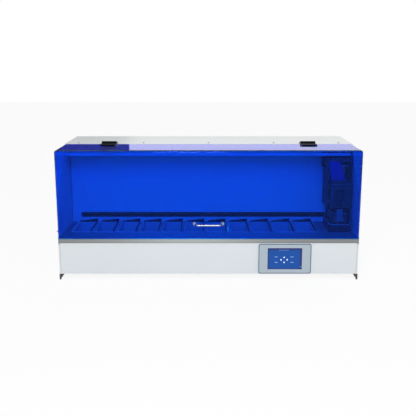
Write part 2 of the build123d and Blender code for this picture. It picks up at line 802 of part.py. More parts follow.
with BuildPart() as power_supply:
    with BuildSketch(Plane.XY.offset(floor_z)):
        with Locations((supply_x, at(electronics_depth))):
            Rectangle(supply_width, supply_length)
    extrude(amount=supply_height)
    with BuildSketch(Plane.XY.offset(floor_z + supply_height)):
        with Locations((supply_x, at(electronics_depth))):
            with GridLocations(supply_width / 9, 0, 7, 1):
                Rectangle(supply_width / 27, supply_length * 0.56)
    extrude(amount=-sheet, mode=Mode.SUBTRACT)
save(power_supply.part, "power_supply")

# Cross drive: a beam on three posts, the linear rail on it, toothed pulleys, belt and motor
with BuildPart() as rail_beam:
    with BuildSketch(Plane.YZ.offset(-beam_half_length)):
        with Locations((rail_y, beam_bottom + beam_size / 2)):
            RectangleRounded(beam_size, beam_size, beam_size / 20)
            with PolarLocations(beam_size / 2, 4):
                Rectangle(1.5 * beam_groove, beam_groove, mode=Mode.SUBTRACT)
            Circle(beam_groove / 2, mode=Mode.SUBTRACT)
    extrude(amount=2 * beam_half_length)
    post_x = beam_half_length - post_inset
    with BuildSketch(Plane.XY.offset(floor_z)):
        with Locations((-post_x, rail_y), (0, rail_y), (post_x, rail_y)):
            Rectangle(beam_size, beam_size)
            Rectangle(beam_size - 2 * post_wall, beam_size - 2 * post_wall, mode=Mode.SUBTRACT)
    extrude(amount=beam_bottom - floor_z)
save(rail_beam.part, "rail_beam")

with BuildPart() as cross_rail:
    with BuildSketch(Plane.YZ.offset(-beam_half_length)):
        with Locations((rail_y, rail_bottom + rail_height / 2)):
            Rectangle(rail_width, rail_height)
        with Locations(
            (rail_y - rail_width / 2, rail_bottom + rail_height - 5),
            (rail_y + rail_width / 2, rail_bottom + rail_height - 5),
        ):
            Rectangle(4, 4, rotation=45, mode=Mode.SUBTRACT)
    extrude(amount=2 * beam_half_length)
save(cross_rail.part, "cross_rail")

pulley_bottom = belt_bottom - pulley_flange_height - 0.5
pulley_top = belt_bottom + belt_width + 0.5 + pulley_flange_height
for name, pulley_x in (("drive_pulley", drive_pulley_x), ("idler_pulley", idler_pulley_x)):
    with BuildPart() as pulley:
        with BuildSketch(Plane.XY.offset(pulley_bottom)):
            with Locations((pulley_x, pulley_y)):
                Circle(pulley_radius)
                with PolarLocations(pulley_radius + 0.5, pulley_teeth):
                    Rectangle(3, 2.6, mode=Mode.SUBTRACT)
        extrude(amount=pulley_top - pulley_bottom)
        for level in (pulley_bottom, pulley_top - pulley_flange_height):
            with BuildSketch(Plane.XY.offset(level)):
                with Locations((pulley_x, pulley_y)):
                    Circle(pulley_radius + pulley_flange)
            extrude(amount=pulley_flange_height)
        with BuildSketch(Plane.XY.offset(pulley_bottom)):
            with Locations((pulley_x, pulley_y)):
                Circle(pulley_bore_radius + pin_clearance)
        extrude(amount=pulley_top - pulley_bottom, mode=Mode.SUBTRACT)
    save(pulley.part, name)

with BuildPart() as drive_belt:
    with BuildSketch(Plane.XY.offset(belt_bottom)):
        span = idler_pulley_x - drive_pulley_x
        with Locations(((idler_pulley_x + drive_pulley_x) / 2, pulley_y)):
            SlotCenterToCenter(span, 2 * belt_outer)
            SlotCenterToCenter(span, 2 * belt_inner, mode=Mode.SUBTRACT)
    extrude(amount=belt_width)
save(drive_belt.part, "drive_belt")

with BuildPart() as cross_motor:
    with BuildSketch(Plane.XY.offset(motor_top - motor_height)):
        with Locations((drive_pulley_x, pulley_y)):
            Rectangle(motor_size, motor_size)
    extrude(amount=motor_height)
    chamfer(cross_motor.edges().filter_by(Axis.Z), 4)
    with BuildSketch(Plane.XY.offset(motor_top)):
        with Locations((drive_pulley_x, pulley_y)):
            Circle(pulley_bore_radius)
    extrude(amount=pulley_top + 2 - motor_top)
save(cross_motor.part, "cross_motor")

# Angle brackets on the beam's front: the left one carries the motor, the right one the idler's axle
beam_front = rail_y - beam_size / 2
bracket_front = pulley_y - motor_size / 2
with BuildPart() as pulley_brackets:
    for pulley_x in (drive_pulley_x, idler_pulley_x):
        bracket_x = pulley_x - math.copysign(3, pulley_x)
        with BuildSketch(Plane.XY.offset(motor_top)):
            with Locations((bracket_x, (bracket_front + beam_front) / 2)):
                Rectangle(bracket_width, beam_front - bracket_front)
            with Locations((pulley_x, pulley_y)):
                Circle(pulley_bore_radius + 1, mode=Mode.SUBTRACT)
        extrude(amount=bracket_thickness)
        with BuildSketch(Plane.XY.offset(motor_top + bracket_thickness)):
            with Locations((bracket_x, beam_front - bracket_thickness / 2)):
                Rectangle(bracket_width, bracket_thickness)
        extrude(amount=-bracket_drop)
    with BuildSketch(Plane.XY.offset(motor_top)):
        with Locations((idler_pulley_x, pulley_y)):
            Circle(pulley_bore_radius + 1)
    extrude(amount=bracket_thickness)
    with BuildSketch(Plane.XY.offset(motor_top)):
        with Locations((idler_pulley_x, pulley_y)):
            Circle(pulley_bore_radius)
    extrude(amount=pulley_top + 2 - motor_top)
save(pulley_brackets.part, "pulley_brackets")

# Carriage: the bearing block on the rail, the bridge through the slot and the belt clamp under it
with BuildPart() as rail_block:
    with BuildSketch(Plane.YZ.offset(home_x - block_length / 2)):
        with Locations((rail_y, block_bottom + block_height / 2)):
            Rectangle(block_width, block_height)
        with Locations((rail_y, rail_bottom + rail_height / 2)):
            Rectangle(rail_width + 0.8, rail_height + 0.8, mode=Mode.SUBTRACT)
        with Locations((rail_y, block_bottom)):
            Rectangle(rail_width + 0.8, 4, mode=Mode.SUBTRACT)
    extrude(amount=block_length)
save(rail_block.part, "rail_block")

bridge_front = at(tower_back_depth)
bridge_rear = rail_y + block_width / 2
clamp_y = pulley_y + (belt_inner + belt_outer) / 2
clamp_bottom = rail_bottom + 1.5
clamp_depth = 11.0
with BuildPart() as slot_bridge:
    with BuildSketch(Plane.XY.offset(block_top)):
        with Locations((home_x, (bridge_front + bridge_rear) / 2)):
            Rectangle(bridge_width, bridge_rear - bridge_front)
        with Locations((home_x, (bridge_front + bridge_rear) / 2 - 6)):
            RectangleRounded(34, 36, 6, mode=Mode.SUBTRACT)
    extrude(amount=bridge_thickness)
    with BuildSketch(Plane.YZ.offset(home_x + clamp_offset - clamp_width / 2)):
        with Locations((clamp_y, (clamp_bottom + block_top) / 2)):
            Rectangle(clamp_depth, block_top - clamp_bottom)
        with Locations((clamp_y, belt_bottom + belt_width / 2)):
            Rectangle(
                belt_thickness + 2 * belt_clearance, belt_width + 2 * belt_clearance, mode=Mode.SUBTRACT
            )
    extrude(amount=clamp_width)
save(slot_bridge.part, "slot_bridge")

# Lift tower: a folded channel that stands on the bridge, open at the front between two cross rails
tower_x = home_x + tower_offset
tower_left = tower_x - tower_width / 2
tower_right = tower_x + tower_width / 2
tower_back = at(tower_back_depth)
tower_front = at(tower_front_depth)
rail_levels = (tower_cover_top, tower_top - tower_rail_height)
with BuildPart() as tower_channel:
    with BuildSketch(facing(tower_back - tower_sheet)):
        with Locations((tower_x, (tower_bottom + tower_top) / 2)):
            Rectangle(tower_width, tower_top - tower_bottom)
        with Locations((home_x, (block_top + tower_bottom) / 2)):
            Rectangle(bridge_width, tower_bottom - block_top)
    extrude(amount=-tower_sheet)
    with BuildSketch(Plane.XY.offset(tower_bottom)):
        with Locations((tower_left + tower_sheet / 2, 0), (tower_right - tower_sheet / 2, 0)):
            with Locations((0, (tower_front + tower_back) / 2)):
                Rectangle(tower_sheet, tower_back - tower_front)
    extrude(amount=tower_top - tower_bottom)
    with BuildSketch(facing(tower_front)):
        with Locations((tower_left + tower_flange_width / 2, (tower_bottom + tower_top) / 2)):
            Rectangle(tower_flange_width, tower_top - tower_bottom)
        for level in rail_levels:
            with Locations((tower_x, level + tower_rail_height / 2)):
                Rectangle(tower_width, tower_rail_height)
    extrude(amount=-tower_sheet)
    with BuildSketch(Plane.YZ.offset(tower_left)):
        with Locations((tower_front + switch_block_length / 2, tower_top - switch_block_height / 2)):
            Rectangle(switch_block_length, switch_block_height)
    extrude(amount=-switch_block)
save(tower_channel.part, "tower_channel")

# Two end plates with the lift's guide rods pressed into them
inner_width = tower_width - 2 * tower_sheet
plate_front = guide_y - 20
plate_rear = tower_back - tower_sheet
rod_xs = (home_x - guide_spacing / 2, home_x + guide_spacing / 2)
with BuildPart() as guide_frame:
    for level in (lower_plate_bottom, upper_plate_bottom):
        with BuildSketch(Plane.XY.offset(level)):
            with Locations((tower_x, (plate_front + plate_rear) / 2)):
                Rectangle(inner_width, plate_rear - plate_front)
            with Locations((home_x, guide_y)):
                Circle(screw_radius + pin_clearance, mode=Mode.SUBTRACT)
        extrude(amount=end_plate)
    with BuildSketch(Plane.XY.offset(lower_plate_bottom)):
        with Locations(*[(x, guide_y) for x in rod_xs]):
            Circle(guide_radius)
    extrude(amount=upper_plate_bottom + end_plate - lower_plate_bottom)
save(guide_frame.part, "guide_frame")

motor_base = upper_plate_bottom + end_plate
screw_top = motor_base + 20
with BuildPart() as lift_motor:
    with BuildSketch(Plane.XY.offset(motor_base)):
        with Locations((home_x, guide_y)):
            Rectangle(lift_motor_size, lift_motor_size)
    extrude(amount=lift_motor_height)
    chamfer(lift_motor.edges().filter_by(Axis.Z), 4)
    with BuildSketch(Plane.XY.offset(motor_base)):
        with Locations((home_x, guide_y)):
            Circle(screw_radius + pin_clearance)
    extrude(amount=screw_top + 1 - motor_base, mode=Mode.SUBTRACT)
save(lift_motor.part, "lift_motor")

with BuildPart() as lift_screw:
    with BuildSketch(Plane.XY.offset(lower_plate_bottom + 1)):
        with Locations((home_x, guide_y)):
            Circle(screw_radius)
    extrude(amount=screw_top - lower_plate_bottom - 1)
save(lift_screw.part, "lift_screw")

# Bright slanting brace between the cross rails, and the boxed cover below them with its framed recess
brace_left = tower_left + tower_sheet
brace_bottom = tower_cover_top + tower_rail_height - brace_overlap
brace_top = tower_top - tower_rail_height + brace_overlap
with BuildPart() as tower_brace:
    with BuildSketch(facing(tower_front + tower_sheet)):
        with BuildLine():
            Polyline(
                (brace_left, brace_top),
                (brace_left + brace_top_width, brace_top),
                (brace_left + brace_shift + brace_bottom_width, brace_bottom),
                (brace_left + brace_shift, brace_bottom),
                close=True,
            )
        make_face()
    extrude(amount=-tower_sheet)
save(tower_brace.part, "tower_brace")

cover_x = tower_right - tower_cover_width / 2
cover_middle = (tower_bottom + tower_cover_top) / 2
cover_tall = tower_cover_top - tower_bottom
recess_height = cover_tall - 2 * recess_margin
with BuildPart() as tower_cover:
    with BuildSketch(facing(tower_front)):
        with Locations((cover_x, cover_middle)):
            Rectangle(tower_cover_width, cover_tall)
    extrude(amount=tower_front_depth - tower_cover_depth)
    fillet(tower_cover.edges().group_by(Axis.Y)[0], tower_sheet)
    with BuildSketch(facing(tower_front)):
        with Locations((cover_x, cover_middle)):
            Rectangle(tower_cover_width - 2 * tower_sheet, cover_tall - 2 * tower_sheet)
    extrude(amount=tower_front_depth - tower_cover_depth - tower_sheet, mode=Mode.SUBTRACT)
    with BuildSketch(facing(at(tower_cover_depth))):
        with Locations((home_x, tower_bottom + 2 * recess_rim + recess_height / 2)):
            RectangleRounded(recess_width + 2 * recess_rim, recess_height + 2 * recess_rim, recess_rim)
            RectangleRounded(recess_width, recess_height, recess_rim / 2, mode=Mode.SUBTRACT)
    extrude(amount=recess_rim / 2)
    with BuildSketch(facing(at(tower_cover_depth))):
        with Locations((home_x, tower_bottom + 2 * recess_rim + recess_height / 2)):
            RectangleRounded(recess_width, recess_height, recess_rim / 2)
    extrude(amount=-2 * tower_sheet, mode=Mode.SUBTRACT)
save(tower_cover.part, "tower_cover")

# Lift slider: a bronze block with bores for the rods and the screw, and a nose that carries the arm
slider_top = slider_low + lift_travel + slider_height
slider_bottom = slider_top - slider_height
slider_front = guide_y - slider_length / 2
arm_front = dip_y - arm_thickness / 2
arm_rear = dip_y + arm_thickness / 2
with BuildPart() as lift_slider:
    with BuildSketch(Plane.XY.offset(slider_bottom)):
        with Locations((home_x, guide_y)):
            RectangleRounded(slider_width, slider_length, 4)
        with Locations((home_x, (arm_rear + slider_front) / 2)):
            Rectangle(arm_width + 10, slider_front - arm_rear)
        with Locations(*[(x, guide_y) for x in rod_xs]):
            Circle(guide_radius + running_clearance, mode=Mode.SUBTRACT)
        with Locations((home_x, guide_y)):
            Circle(screw_radius + running_clearance, mode=Mode.SUBTRACT)
    extrude(amount=slider_height)
save(lift_slider.part, "lift_slider")

# Flat lift arm, whose hook is a slot that the bail lies in
hook_slot = bail_thickness + 2 * seat_gap
with BuildPart() as lift_arm:
    with BuildSketch(facing(arm_front)):
        with Locations((home_x, (hook_height + slider_top) / 2)):
            Rectangle(arm_width, slider_top - hook_height)
        with Locations((home_x, (hook_height + bail_top + 8) / 2)):
            Rectangle(bail_width + 14, bail_top + 8 - hook_height)
        with Locations((home_x, bail_top - bail_thickness / 2)):
            Rectangle(bail_width + 2, hook_slot, mode=Mode.SUBTRACT)
    extrude(amount=-arm_thickness)
save(lift_arm.part, "lift_arm")

# Perforated basket with a bright bail, whose legs run down its ends to wide feet
basket_top = basket_bottom + basket_height
with BuildPart() as basket:
    with BuildSketch(Plane.XY.offset(basket_bottom)):
        with Locations((home_x, dip_y)):
            RectangleRounded(basket_width, basket_length, 5)
    extrude(amount=basket_height)
    with BuildSketch(Plane.XY.offset(basket_top)):
        with Locations((home_x, dip_y)):
            RectangleRounded(basket_width - 2 * basket_wall, basket_length - 2 * basket_wall, 5 - basket_wall)
    extrude(amount=basket_wall - basket_height, mode=Mode.SUBTRACT)
    with BuildSketch(Plane.YZ.offset(home_x - basket_width / 2)):
        with Locations((dip_y, basket_bottom + basket_height / 2)):
            with GridLocations(10, 0, 13, 1):
                Rectangle(4, basket_height - 14)
    extrude(amount=basket_width, mode=Mode.SUBTRACT)
    with BuildSketch(Plane.XY.offset(basket_bottom)):
        with Locations((home_x, dip_y)):
            with GridLocations(0, 10, 1, 13):
                Rectangle(basket_width - 18, 4)
    extrude(amount=basket_wall, mode=Mode.SUBTRACT)
save(basket.part, "basket")

basket_front = dip_y - basket_length / 2
basket_rear = dip_y + basket_length / 2
with BuildPart() as basket_bail:
    with BuildSketch(Plane.YZ.offset(home_x - bail_width / 2)):
        with BuildLine():
            Polyline(
                (basket_front - bail_thickness, basket_bottom + 2),
                (basket_front - bail_thickness, bail_top),
                (basket_rear + bail_thickness, bail_top),
                (basket_rear + bail_thickness, basket_bottom + 2),
                (basket_rear, basket_bottom + 2),
                (basket_rear, bail_top - bail_thickness),
                (basket_front, bail_top - bail_thickness),
                (basket_front, basket_bottom + 2),
                close=True,
            )
        make_face()
    extrude(amount=bail_width)
    for foot_y in (basket_front - bail_thickness, basket_rear):
        with BuildSketch(facing(foot_y)):
            with Locations((home_x, basket_bottom + 2 + bail_foot_height / 2)):
                RectangleRounded(bail_width + bail_foot_spread, bail_foot_height, 2)
        extrude(amount=-bail_thickness)
save(basket_bail.part, "basket_bail")

# Exhaust fan behind the rear panel: frame, bladed rotor, motor hub stub and the guard outside
fan_front = rear - sheet - fan_thickness
with BuildPart() as fan_frame:
    with BuildSketch(facing(rear - sheet)):
        with Locations((fan_x, fan_height)):
            RectangleRounded(fan_size, fan_size, 5)
            Circle(fan_bore_radius, mode=Mode.SUBTRACT)
    extrude(amount=fan_thickness)
    with BuildSketch(facing(fan_front)):
        with Locations((fan_x, fan_height)):
            Circle(fan_hub_radius)
            Rectangle(2 * fan_bore_radius + 2, 7)
            Rectangle(7, 2 * fan_bore_radius + 2)
    extrude(amount=-4)
    with BuildSketch(facing(fan_front + 4)):
        with Locations((fan_x, fan_height)):
            Circle(3)
    extrude(amount=-14)
save(fan_frame.part, "fan_frame")

with BuildPart() as fan_rotor:
    with BuildSketch(facing(fan_front + 5)):
        with Locations((fan_x, fan_height)):
            Circle(fan_hub_radius - 0.5)
    extrude(amount=-16)
    with BuildSketch(facing(fan_front + 6)):
        with Locations((fan_x, fan_height)):
            with PolarLocations((fan_hub_radius + fan_bore_radius) / 2 - 2, fan_blades):
                Rectangle(fan_bore_radius - fan_hub_radius, fan_blade_thickness)
    extrude(amount=-fan_thickness / 2)
    with BuildSketch(facing(fan_front + 5)):
        with Locations((fan_x, fan_height)):
            Circle(3 + pin_clearance)
    extrude(amount=-14, mode=Mode.SUBTRACT)
save(fan_rotor.part, "fan_rotor")

with BuildPart() as fan_guard:
    with BuildSketch(facing(rear)):
        with Locations((fan_x, fan_height)):
            for radius in (fan_size / 2, *guard_rings):
                Circle(radius)
                Circle(radius - guard_wire, mode=Mode.SUBTRACT)
            Rectangle(guard_wire, fan_size - guard_wire)
            Rectangle(fan_size - guard_wire, guard_wire)
    extrude(amount=-guard_reach)
save(fan_guard.part, "fan_guard")

# Power inlet and rocker switch on the rear panel
with BuildPart() as power_inlet:
    with BuildSketch(facing(rear)):
        with Locations((inlet_x, inlet_height)):
            RectangleRounded(inlet_width, inlet_tall, 4)
    extrude(amount=-3)
    with BuildSketch(facing(rear)):
        with Locations((inlet_x, inlet_height)):
            Rectangle(inlet_width - 9, inlet_tall - 7)
    extrude(amount=22)
    with BuildSketch(facing(rear + 3)):
        with Locations((inlet_x, inlet_height)):
            RectangleRounded(30, 19, 3)
    extrude(amount=17, mode=Mode.SUBTRACT)
    with BuildSketch(facing(rear - 14)):
        for shift_x, shift_z in ((-7, -2), (0, 3), (7, -2)):
            with Locations((inlet_x + shift_x, inlet_height + shift_z)):
                Rectangle(2, 5)
    extrude(amount=-12)
save(power_inlet.part, "power_inlet")

with BuildPart() as switch_body:
    with BuildSketch(facing(rear + 1.5)):
        with Locations((switch_x, inlet_height)):
            Rectangle(switch_width + 4, switch_height + 4)
            Rectangle(switch_width - 2, switch_height - 2, mode=Mode.SUBTRACT)
    extrude(amount=1.5)
    with BuildSketch(facing(rear)):
        with Locations((switch_x, inlet_height)):
            Rectangle(switch_width, switch_height)
            Rectangle(switch_width - 2, switch_height - 2, mode=Mode.SUBTRACT)
    extrude(amount=14)
    with BuildSketch(facing(rear - 14)):
        with Locations((switch_x, inlet_height)):
            Rectangle(switch_width, switch_height)
    extrude(amount=4)
save(switch_body.part, "switch_body")

rocker_pivot_y = rear - 4
with BuildPart() as switch_rocker:
    rocker_half = switch_height / 2 - 3
    with BuildSketch(Plane.YZ.offset(switch_x - switch_width / 2 + 1.6)):
        with BuildLine():
            Polyline(
                (rocker_pivot_y - 3, inlet_height - 4),
                (rocker_pivot_y - 3, inlet_height + 4),
                (rocker_pivot_y + 3.2, inlet_height + rocker_half),
                (rocker_pivot_y + 4.6, inlet_height + rocker_half),
                (rocker_pivot_y + 5.4, inlet_height),
                (rocker_pivot_y + 8.4, inlet_height - rocker_half),
                (rocker_pivot_y + 6.4, inlet_height - rocker_half),
                close=True,
            )
        make_face()
    extrude(amount=switch_width - 3.2)
    with BuildSketch(Plane.YZ.offset(switch_x - switch_width / 2 + 1.2)):
        with Locations((rocker_pivot_y, inlet_height)):
            Circle(1.5)
    extrude(amount=switch_width - 2.4)
save(switch_rocker.part, "switch_rocker")
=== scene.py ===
"""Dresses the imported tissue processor: finishes for its sheet metal, tanks, lift tower and blue cover, the small
pieces that the solids leave out, and the floor, lights and camera of the photograph."""

import math

import bmesh
import bpy
from mathutils import Matrix, Vector


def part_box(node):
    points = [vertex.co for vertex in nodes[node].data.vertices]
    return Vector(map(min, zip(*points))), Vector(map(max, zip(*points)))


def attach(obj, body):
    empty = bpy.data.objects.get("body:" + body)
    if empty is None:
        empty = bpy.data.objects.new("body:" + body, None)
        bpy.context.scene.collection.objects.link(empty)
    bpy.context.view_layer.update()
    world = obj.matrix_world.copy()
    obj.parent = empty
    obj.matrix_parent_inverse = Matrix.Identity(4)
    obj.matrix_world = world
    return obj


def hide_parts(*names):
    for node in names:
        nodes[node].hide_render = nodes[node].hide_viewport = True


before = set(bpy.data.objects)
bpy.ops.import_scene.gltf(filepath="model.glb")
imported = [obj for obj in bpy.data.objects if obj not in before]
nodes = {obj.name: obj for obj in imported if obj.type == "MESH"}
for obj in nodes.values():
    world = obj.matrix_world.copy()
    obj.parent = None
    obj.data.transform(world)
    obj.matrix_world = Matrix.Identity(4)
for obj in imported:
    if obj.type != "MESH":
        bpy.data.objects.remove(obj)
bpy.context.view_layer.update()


# Cabinet shell: folded steel plates, sprayed with a satin white powder coat. The coat has a fine orange peel that
# only shows in its reflections. The roof and the strip under the hinges get a lighter copy of the white coat, which
# paints the extra light they catch compared with the front.
def new_material(name):
    """A material with an empty Principled shader, and its node tree."""
    material = bpy.data.materials.new(name)
    material.use_nodes = True
    return material, material.node_tree, material.node_tree.nodes["Principled BSDF"]


def object_noise(tree, scale, detail=2.0, stretch=(1, 1, 1)):
    """A noise pattern on the piece's own coordinates, and its value socket."""
    place = tree.nodes.new("ShaderNodeTexCoord")
    spread = tree.nodes.new("ShaderNodeMapping")
    spread.inputs["Scale"].default_value = stretch
    noise = tree.nodes.new("ShaderNodeTexNoise")
    noise.inputs["Scale"].default_value = scale
    noise.inputs["Detail"].default_value = detail
    tree.links.new(place.outputs["Object"], spread.inputs["Vector"])
    tree.links.new(spread.outputs["Vector"], noise.inputs["Vector"])
    return noise.outputs["Fac"]


def vary(tree, shader, socket, pattern, low, high):
    """Lets a pattern move a number or a colour between two values."""
    if isinstance(low, tuple):
        blend = tree.nodes.new("ShaderNodeMix")
        blend.data_type = "RGBA"
        blend.inputs[6].default_value = (*low, 1)
        blend.inputs[7].default_value = (*high, 1)
        tree.links.new(pattern, blend.inputs[0])
        tree.links.new(blend.outputs[2], shader.inputs[socket])
        return
    spread = tree.nodes.new("ShaderNodeMapRange")
    spread.inputs["To Min"].default_value = low
    spread.inputs["To Max"].default_value = high
    tree.links.new(pattern, spread.inputs["Value"])
    tree.links.new(spread.outputs["Result"], shader.inputs[socket])


def roughen(tree, shader, pattern, distance, strength=1.0):
    """Raises the surface by a pattern, in metres."""
    bump = tree.nodes.new("ShaderNodeBump")
    bump.inputs["Distance"].default_value = distance
    bump.inputs["Strength"].default_value = strength
    tree.links.new(pattern, bump.inputs["Height"])
    tree.links.new(bump.outputs["Normal"], shader.inputs["Normal"])


def dress(material, *names):
    """Gives CAD nodes a finish."""
    for name in names:
        nodes[name].data.materials.clear()
        nodes[name].data.materials.append(material)


def powder_coat(name, dull, clean):
    """Sprayed and baked paint, a little uneven in tone and gloss."""
    material, tree, coat = new_material(name)
    vary(tree, coat, "Base Color", object_noise(tree, 3.0), dull, clean)
    vary(tree, coat, "Roughness", object_noise(tree, 40.0), 0.32, 0.42)
    roughen(tree, coat, object_noise(tree, 900.0), 0.00006, 0.5)
    return material


white_coat = powder_coat("white_powder_coat", (0.73, 0.77, 0.80), (0.76, 0.80, 0.82))
# The roof's coat is the white coat painted lighter: a painted highlight for the light the roof catches.
roof_lit_coat = powder_coat("roof_coat_painted_highlight", (0.84, 0.87, 0.88), (0.87, 0.90, 0.90))
wall_coat = powder_coat("wall_powder_coat", (0.78, 0.80, 0.82), (0.82, 0.84, 0.86))
dress(white_coat, "left_side_plate", "right_side_plate", "front_panel", "rear_panel", "bottom_pan")
dress(roof_lit_coat, "roof_panel", "roof_header")
dress(wall_coat, "rear_wall")


# Top edge of the front panel: the sheet is folded back on itself and laps over the foot of the steel band. The thin
# shadow along the join is painted, by a dark strip laid over it further on.
def add_block(shape, low, high, edge=0.0, rounds=2):
    """A block between two corners, with its edges eased."""
    corners = bmesh.ops.create_cube(shape, size=1.0)["verts"]
    bmesh.ops.scale(shape, vec=Vector(high) - Vector(low), verts=corners)
    bmesh.ops.translate(shape, vec=(Vector(low) + Vector(high)) / 2, verts=corners)
    if edge:
        sharp = list({rim for corner in corners for rim in corner.link_edges})
        bmesh.ops.bevel(shape, geom=sharp, offset=edge, segments=rounds, profile=0.5, affect="EDGES", material=-1)


def finish_piece(name, shape, material, body, smooth=False):
    """Turns a shape into a named piece with its finish, and fixes it to a body."""
    mesh = bpy.data.meshes.new(name)
    shape.to_mesh(mesh)
    shape.free()
    mesh.materials.append(material)
    for face in mesh.polygons:
        face.use_smooth = smooth
    if smooth:
        mesh.set_sharp_from_angle(angle=math.radians(35))
    piece = bpy.data.objects.new(name, mesh)
    bpy.context.scene.collection.objects.link(piece)
    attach(piece, body)
    return piece


panel_half = 0.6552
front_face = -0.2515
hem_top = 0.1682
hem = bmesh.new()
add_block(hem, (-panel_half, front_face - 0.0014, hem_top - 0.0070), (panel_half, front_face, hem_top), 0.0005)
finish_piece("front_panel_hem", hem, white_coat, "cabinet")


# Chamber wall: a pressed bead runs across it to keep the thin sheet flat. Beside the wax bath a dark steel sheet
# covers the side plate's inner face and paints the shade that falls on that side of the chamber.
wall_half = 0.6540
wall_bead = bmesh.new()
add_block(wall_bead, (-wall_half, 0.0722, 0.3905), (wall_half, 0.0736, 0.3935), 0.0006)
finish_piece("wall_pressed_bead", wall_bead, wall_coat, "cabinet")


def brushed_steel(name, color, rough, grain=(2, 160, 160)):
    """Bare metal with fine brush lines, which run along the axis where the grain is least."""
    material, tree, steel = new_material(name)
    steel.inputs["Metallic"].default_value = 1.0
    lines = object_noise(tree, 14.0, 3.0, grain)
    darker = tuple(0.82 * part for part in color)
    vary(tree, steel, "Base Color", lines, darker, color)
    vary(tree, steel, "Roughness", lines, rough - 0.06, rough + 0.08)
    roughen(tree, steel, lines, 0.00003, 0.5)
    return material


# A dark sheet on the side plate: painted shade for that side of the chamber.
side_shade_sheet = bmesh.new()
add_block(side_shade_sheet, (panel_half, -0.0600, 0.1895), (panel_half + 0.0008, 0.0720, 0.5600), 0.0002)
finish_piece("side_plate_painted_shade", side_shade_sheet, brushed_steel("painted_side_shade_steel", (0.22, 0.24, 0.26), 0.45, (60, 60, 4)),
             "cabinet")


# Shadow gaps of the cabinet: the front panel stops short of the side plates, and a black strip set in each gap
# paints its shade as a thin line. A strip of the same painted shade runs along the panel's folded edge under the
# steel band.
def soft_rubber(name, color, rough):
    """Dull rubber or foam with a fine grain."""
    material, tree, rubber = new_material(name)
    darker = tuple(0.7 * part for part in color)
    vary(tree, rubber, "Base Color", object_noise(tree, 60.0, 4.0), darker, color)
    rubber.inputs["Roughness"].default_value = rough
    roughen(tree, rubber, object_noise(tree, 1500.0), 0.00004, 0.4)
    return material


# Dark strips in the gaps and along the hem: painted shade.
gap_shade = bmesh.new()
for side in (-1, 1):
    inner, outer = sorted((side * 0.65525, side * 0.65595))
    add_block(gap_shade, (inner, -0.2512, 0.029), (outer, -0.240, 0.1625))
add_block(gap_shade, (-panel_half, front_face - 0.0005, hem_top - 0.0002), (panel_half, front_face, hem_top + 0.0012))
finish_piece("gap_shade_strips", gap_shade, soft_rubber("painted_gap_shade", (0.06, 0.065, 0.07), 0.9), "cabinet")


# Skids: the side plates run down past the bottom pan, and a grey rubber edging is pressed over their lower edge;
# its dark grey also paints the shade on the plates' inner faces. A dark block at each end of the edging paints the
# shade on the plate's inner face below the front and rear panels.
dress(soft_rubber("edging_rubber", (0.075, 0.08, 0.085), 0.7), "foot_edgings")
# Dark blocks at the plate ends: painted shade.
skid_shade_blocks = bmesh.new()
for side in (-1, 1):
    for end, wall in ((-0.2524, -0.2512), (0.2812, 0.2824)):
        inner, outer = sorted((side * panel_half, side * 0.6632))
        add_block(skid_shade_blocks, (inner, end, 0.0004), (outer, wall, 0.0262), 0.0004)
finish_piece("skid_end_shade_blocks", skid_shade_blocks, soft_rubber("painted_skid_shade", (0.06, 0.065, 0.07), 0.6), "cabinet")


# Panel screws: M4 pan heads with a cross recess, zinc plated, in rows along the side plates and the rear panel.
# The recess is not cut in: a near-black cross laid a hair above the head paints the shade inside it.
def bright_steel(name, color, rough):
    """Plated or blackened steel, without brush lines."""
    material, tree, steel = new_material(name)
    steel.inputs["Metallic"].default_value = 1.0
    faded = tuple(0.88 * part for part in color)
    vary(tree, steel, "Base Color", object_noise(tree, 240.0, 3.0), faded, color)
    vary(tree, steel, "Roughness", object_noise(tree, 90.0), rough, rough + 0.08)
    return material


def settle(shape, part, place=Matrix()):
    """Closes a part, faces it outwards and adds it to a shape at its place."""
    bmesh.ops.remove_doubles(part, verts=part.verts, dist=1e-6)
    bmesh.ops.recalc_face_normals(part, faces=part.faces)
    part.transform(place)
    carried = bpy.data.meshes.new("carried")
    part.to_mesh(carried)
    part.free()
    shape.from_mesh(carried)
    bpy.data.meshes.remove(carried)


def facing(direction, place):
    """The turn that points a part's top in a direction, at a place."""
    return Matrix.Translation(place) @ Vector(direction).to_track_quat("Z", "Y").to_matrix().to_4x4()


def turned(outline, steps=20):
    """A turned part: an outline of radius and height, spun round the upright axis."""
    part = bmesh.new()
    points = [part.verts.new((radius, 0, height)) for radius, height in outline]
    rims = [part.edges.new(pair) for pair in zip(points, points[1:])]
    bmesh.ops.spin(part, geom=points + rims, cent=(0, 0, 0), axis=(0, 0, 1), dvec=(0, 0, 0),
                   angle=2 * math.pi, steps=steps, use_merge=True, use_normal_flip=False, use_duplicate=False)
    return part


def pan_head(radius, height):
    """The outline of a pan head screw, for a turned part."""
    return [(0, 0), (radius, 0), (radius, 0.35 * height), (0.9 * radius, 0.75 * height),
            (0.62 * radius, height), (0, height)]


def recess_shade_cross(radius, height):
    """Two crossed bars that stand a hair above the middle of a screw head: the recess's painted shade."""
    part = bmesh.new()
    reach, half = 0.55 * radius, 0.13 * radius
    add_block(part, (-reach, -half, 0.8 * height), (reach, half, height + 0.00006))
    add_block(part, (-half, -reach, 0.8 * height), (half, reach, height + 0.00006))
    return part


def add_screw(heads, recess_shade_marks, direction, place, radius, height, steps=16):
    """A screw head and the painted shade of its recess, facing a direction."""
    settle(heads, turned(pan_head(radius, height), steps), facing(direction, place))
    settle(recess_shade_marks, recess_shade_cross(radius, height), facing(direction, place))


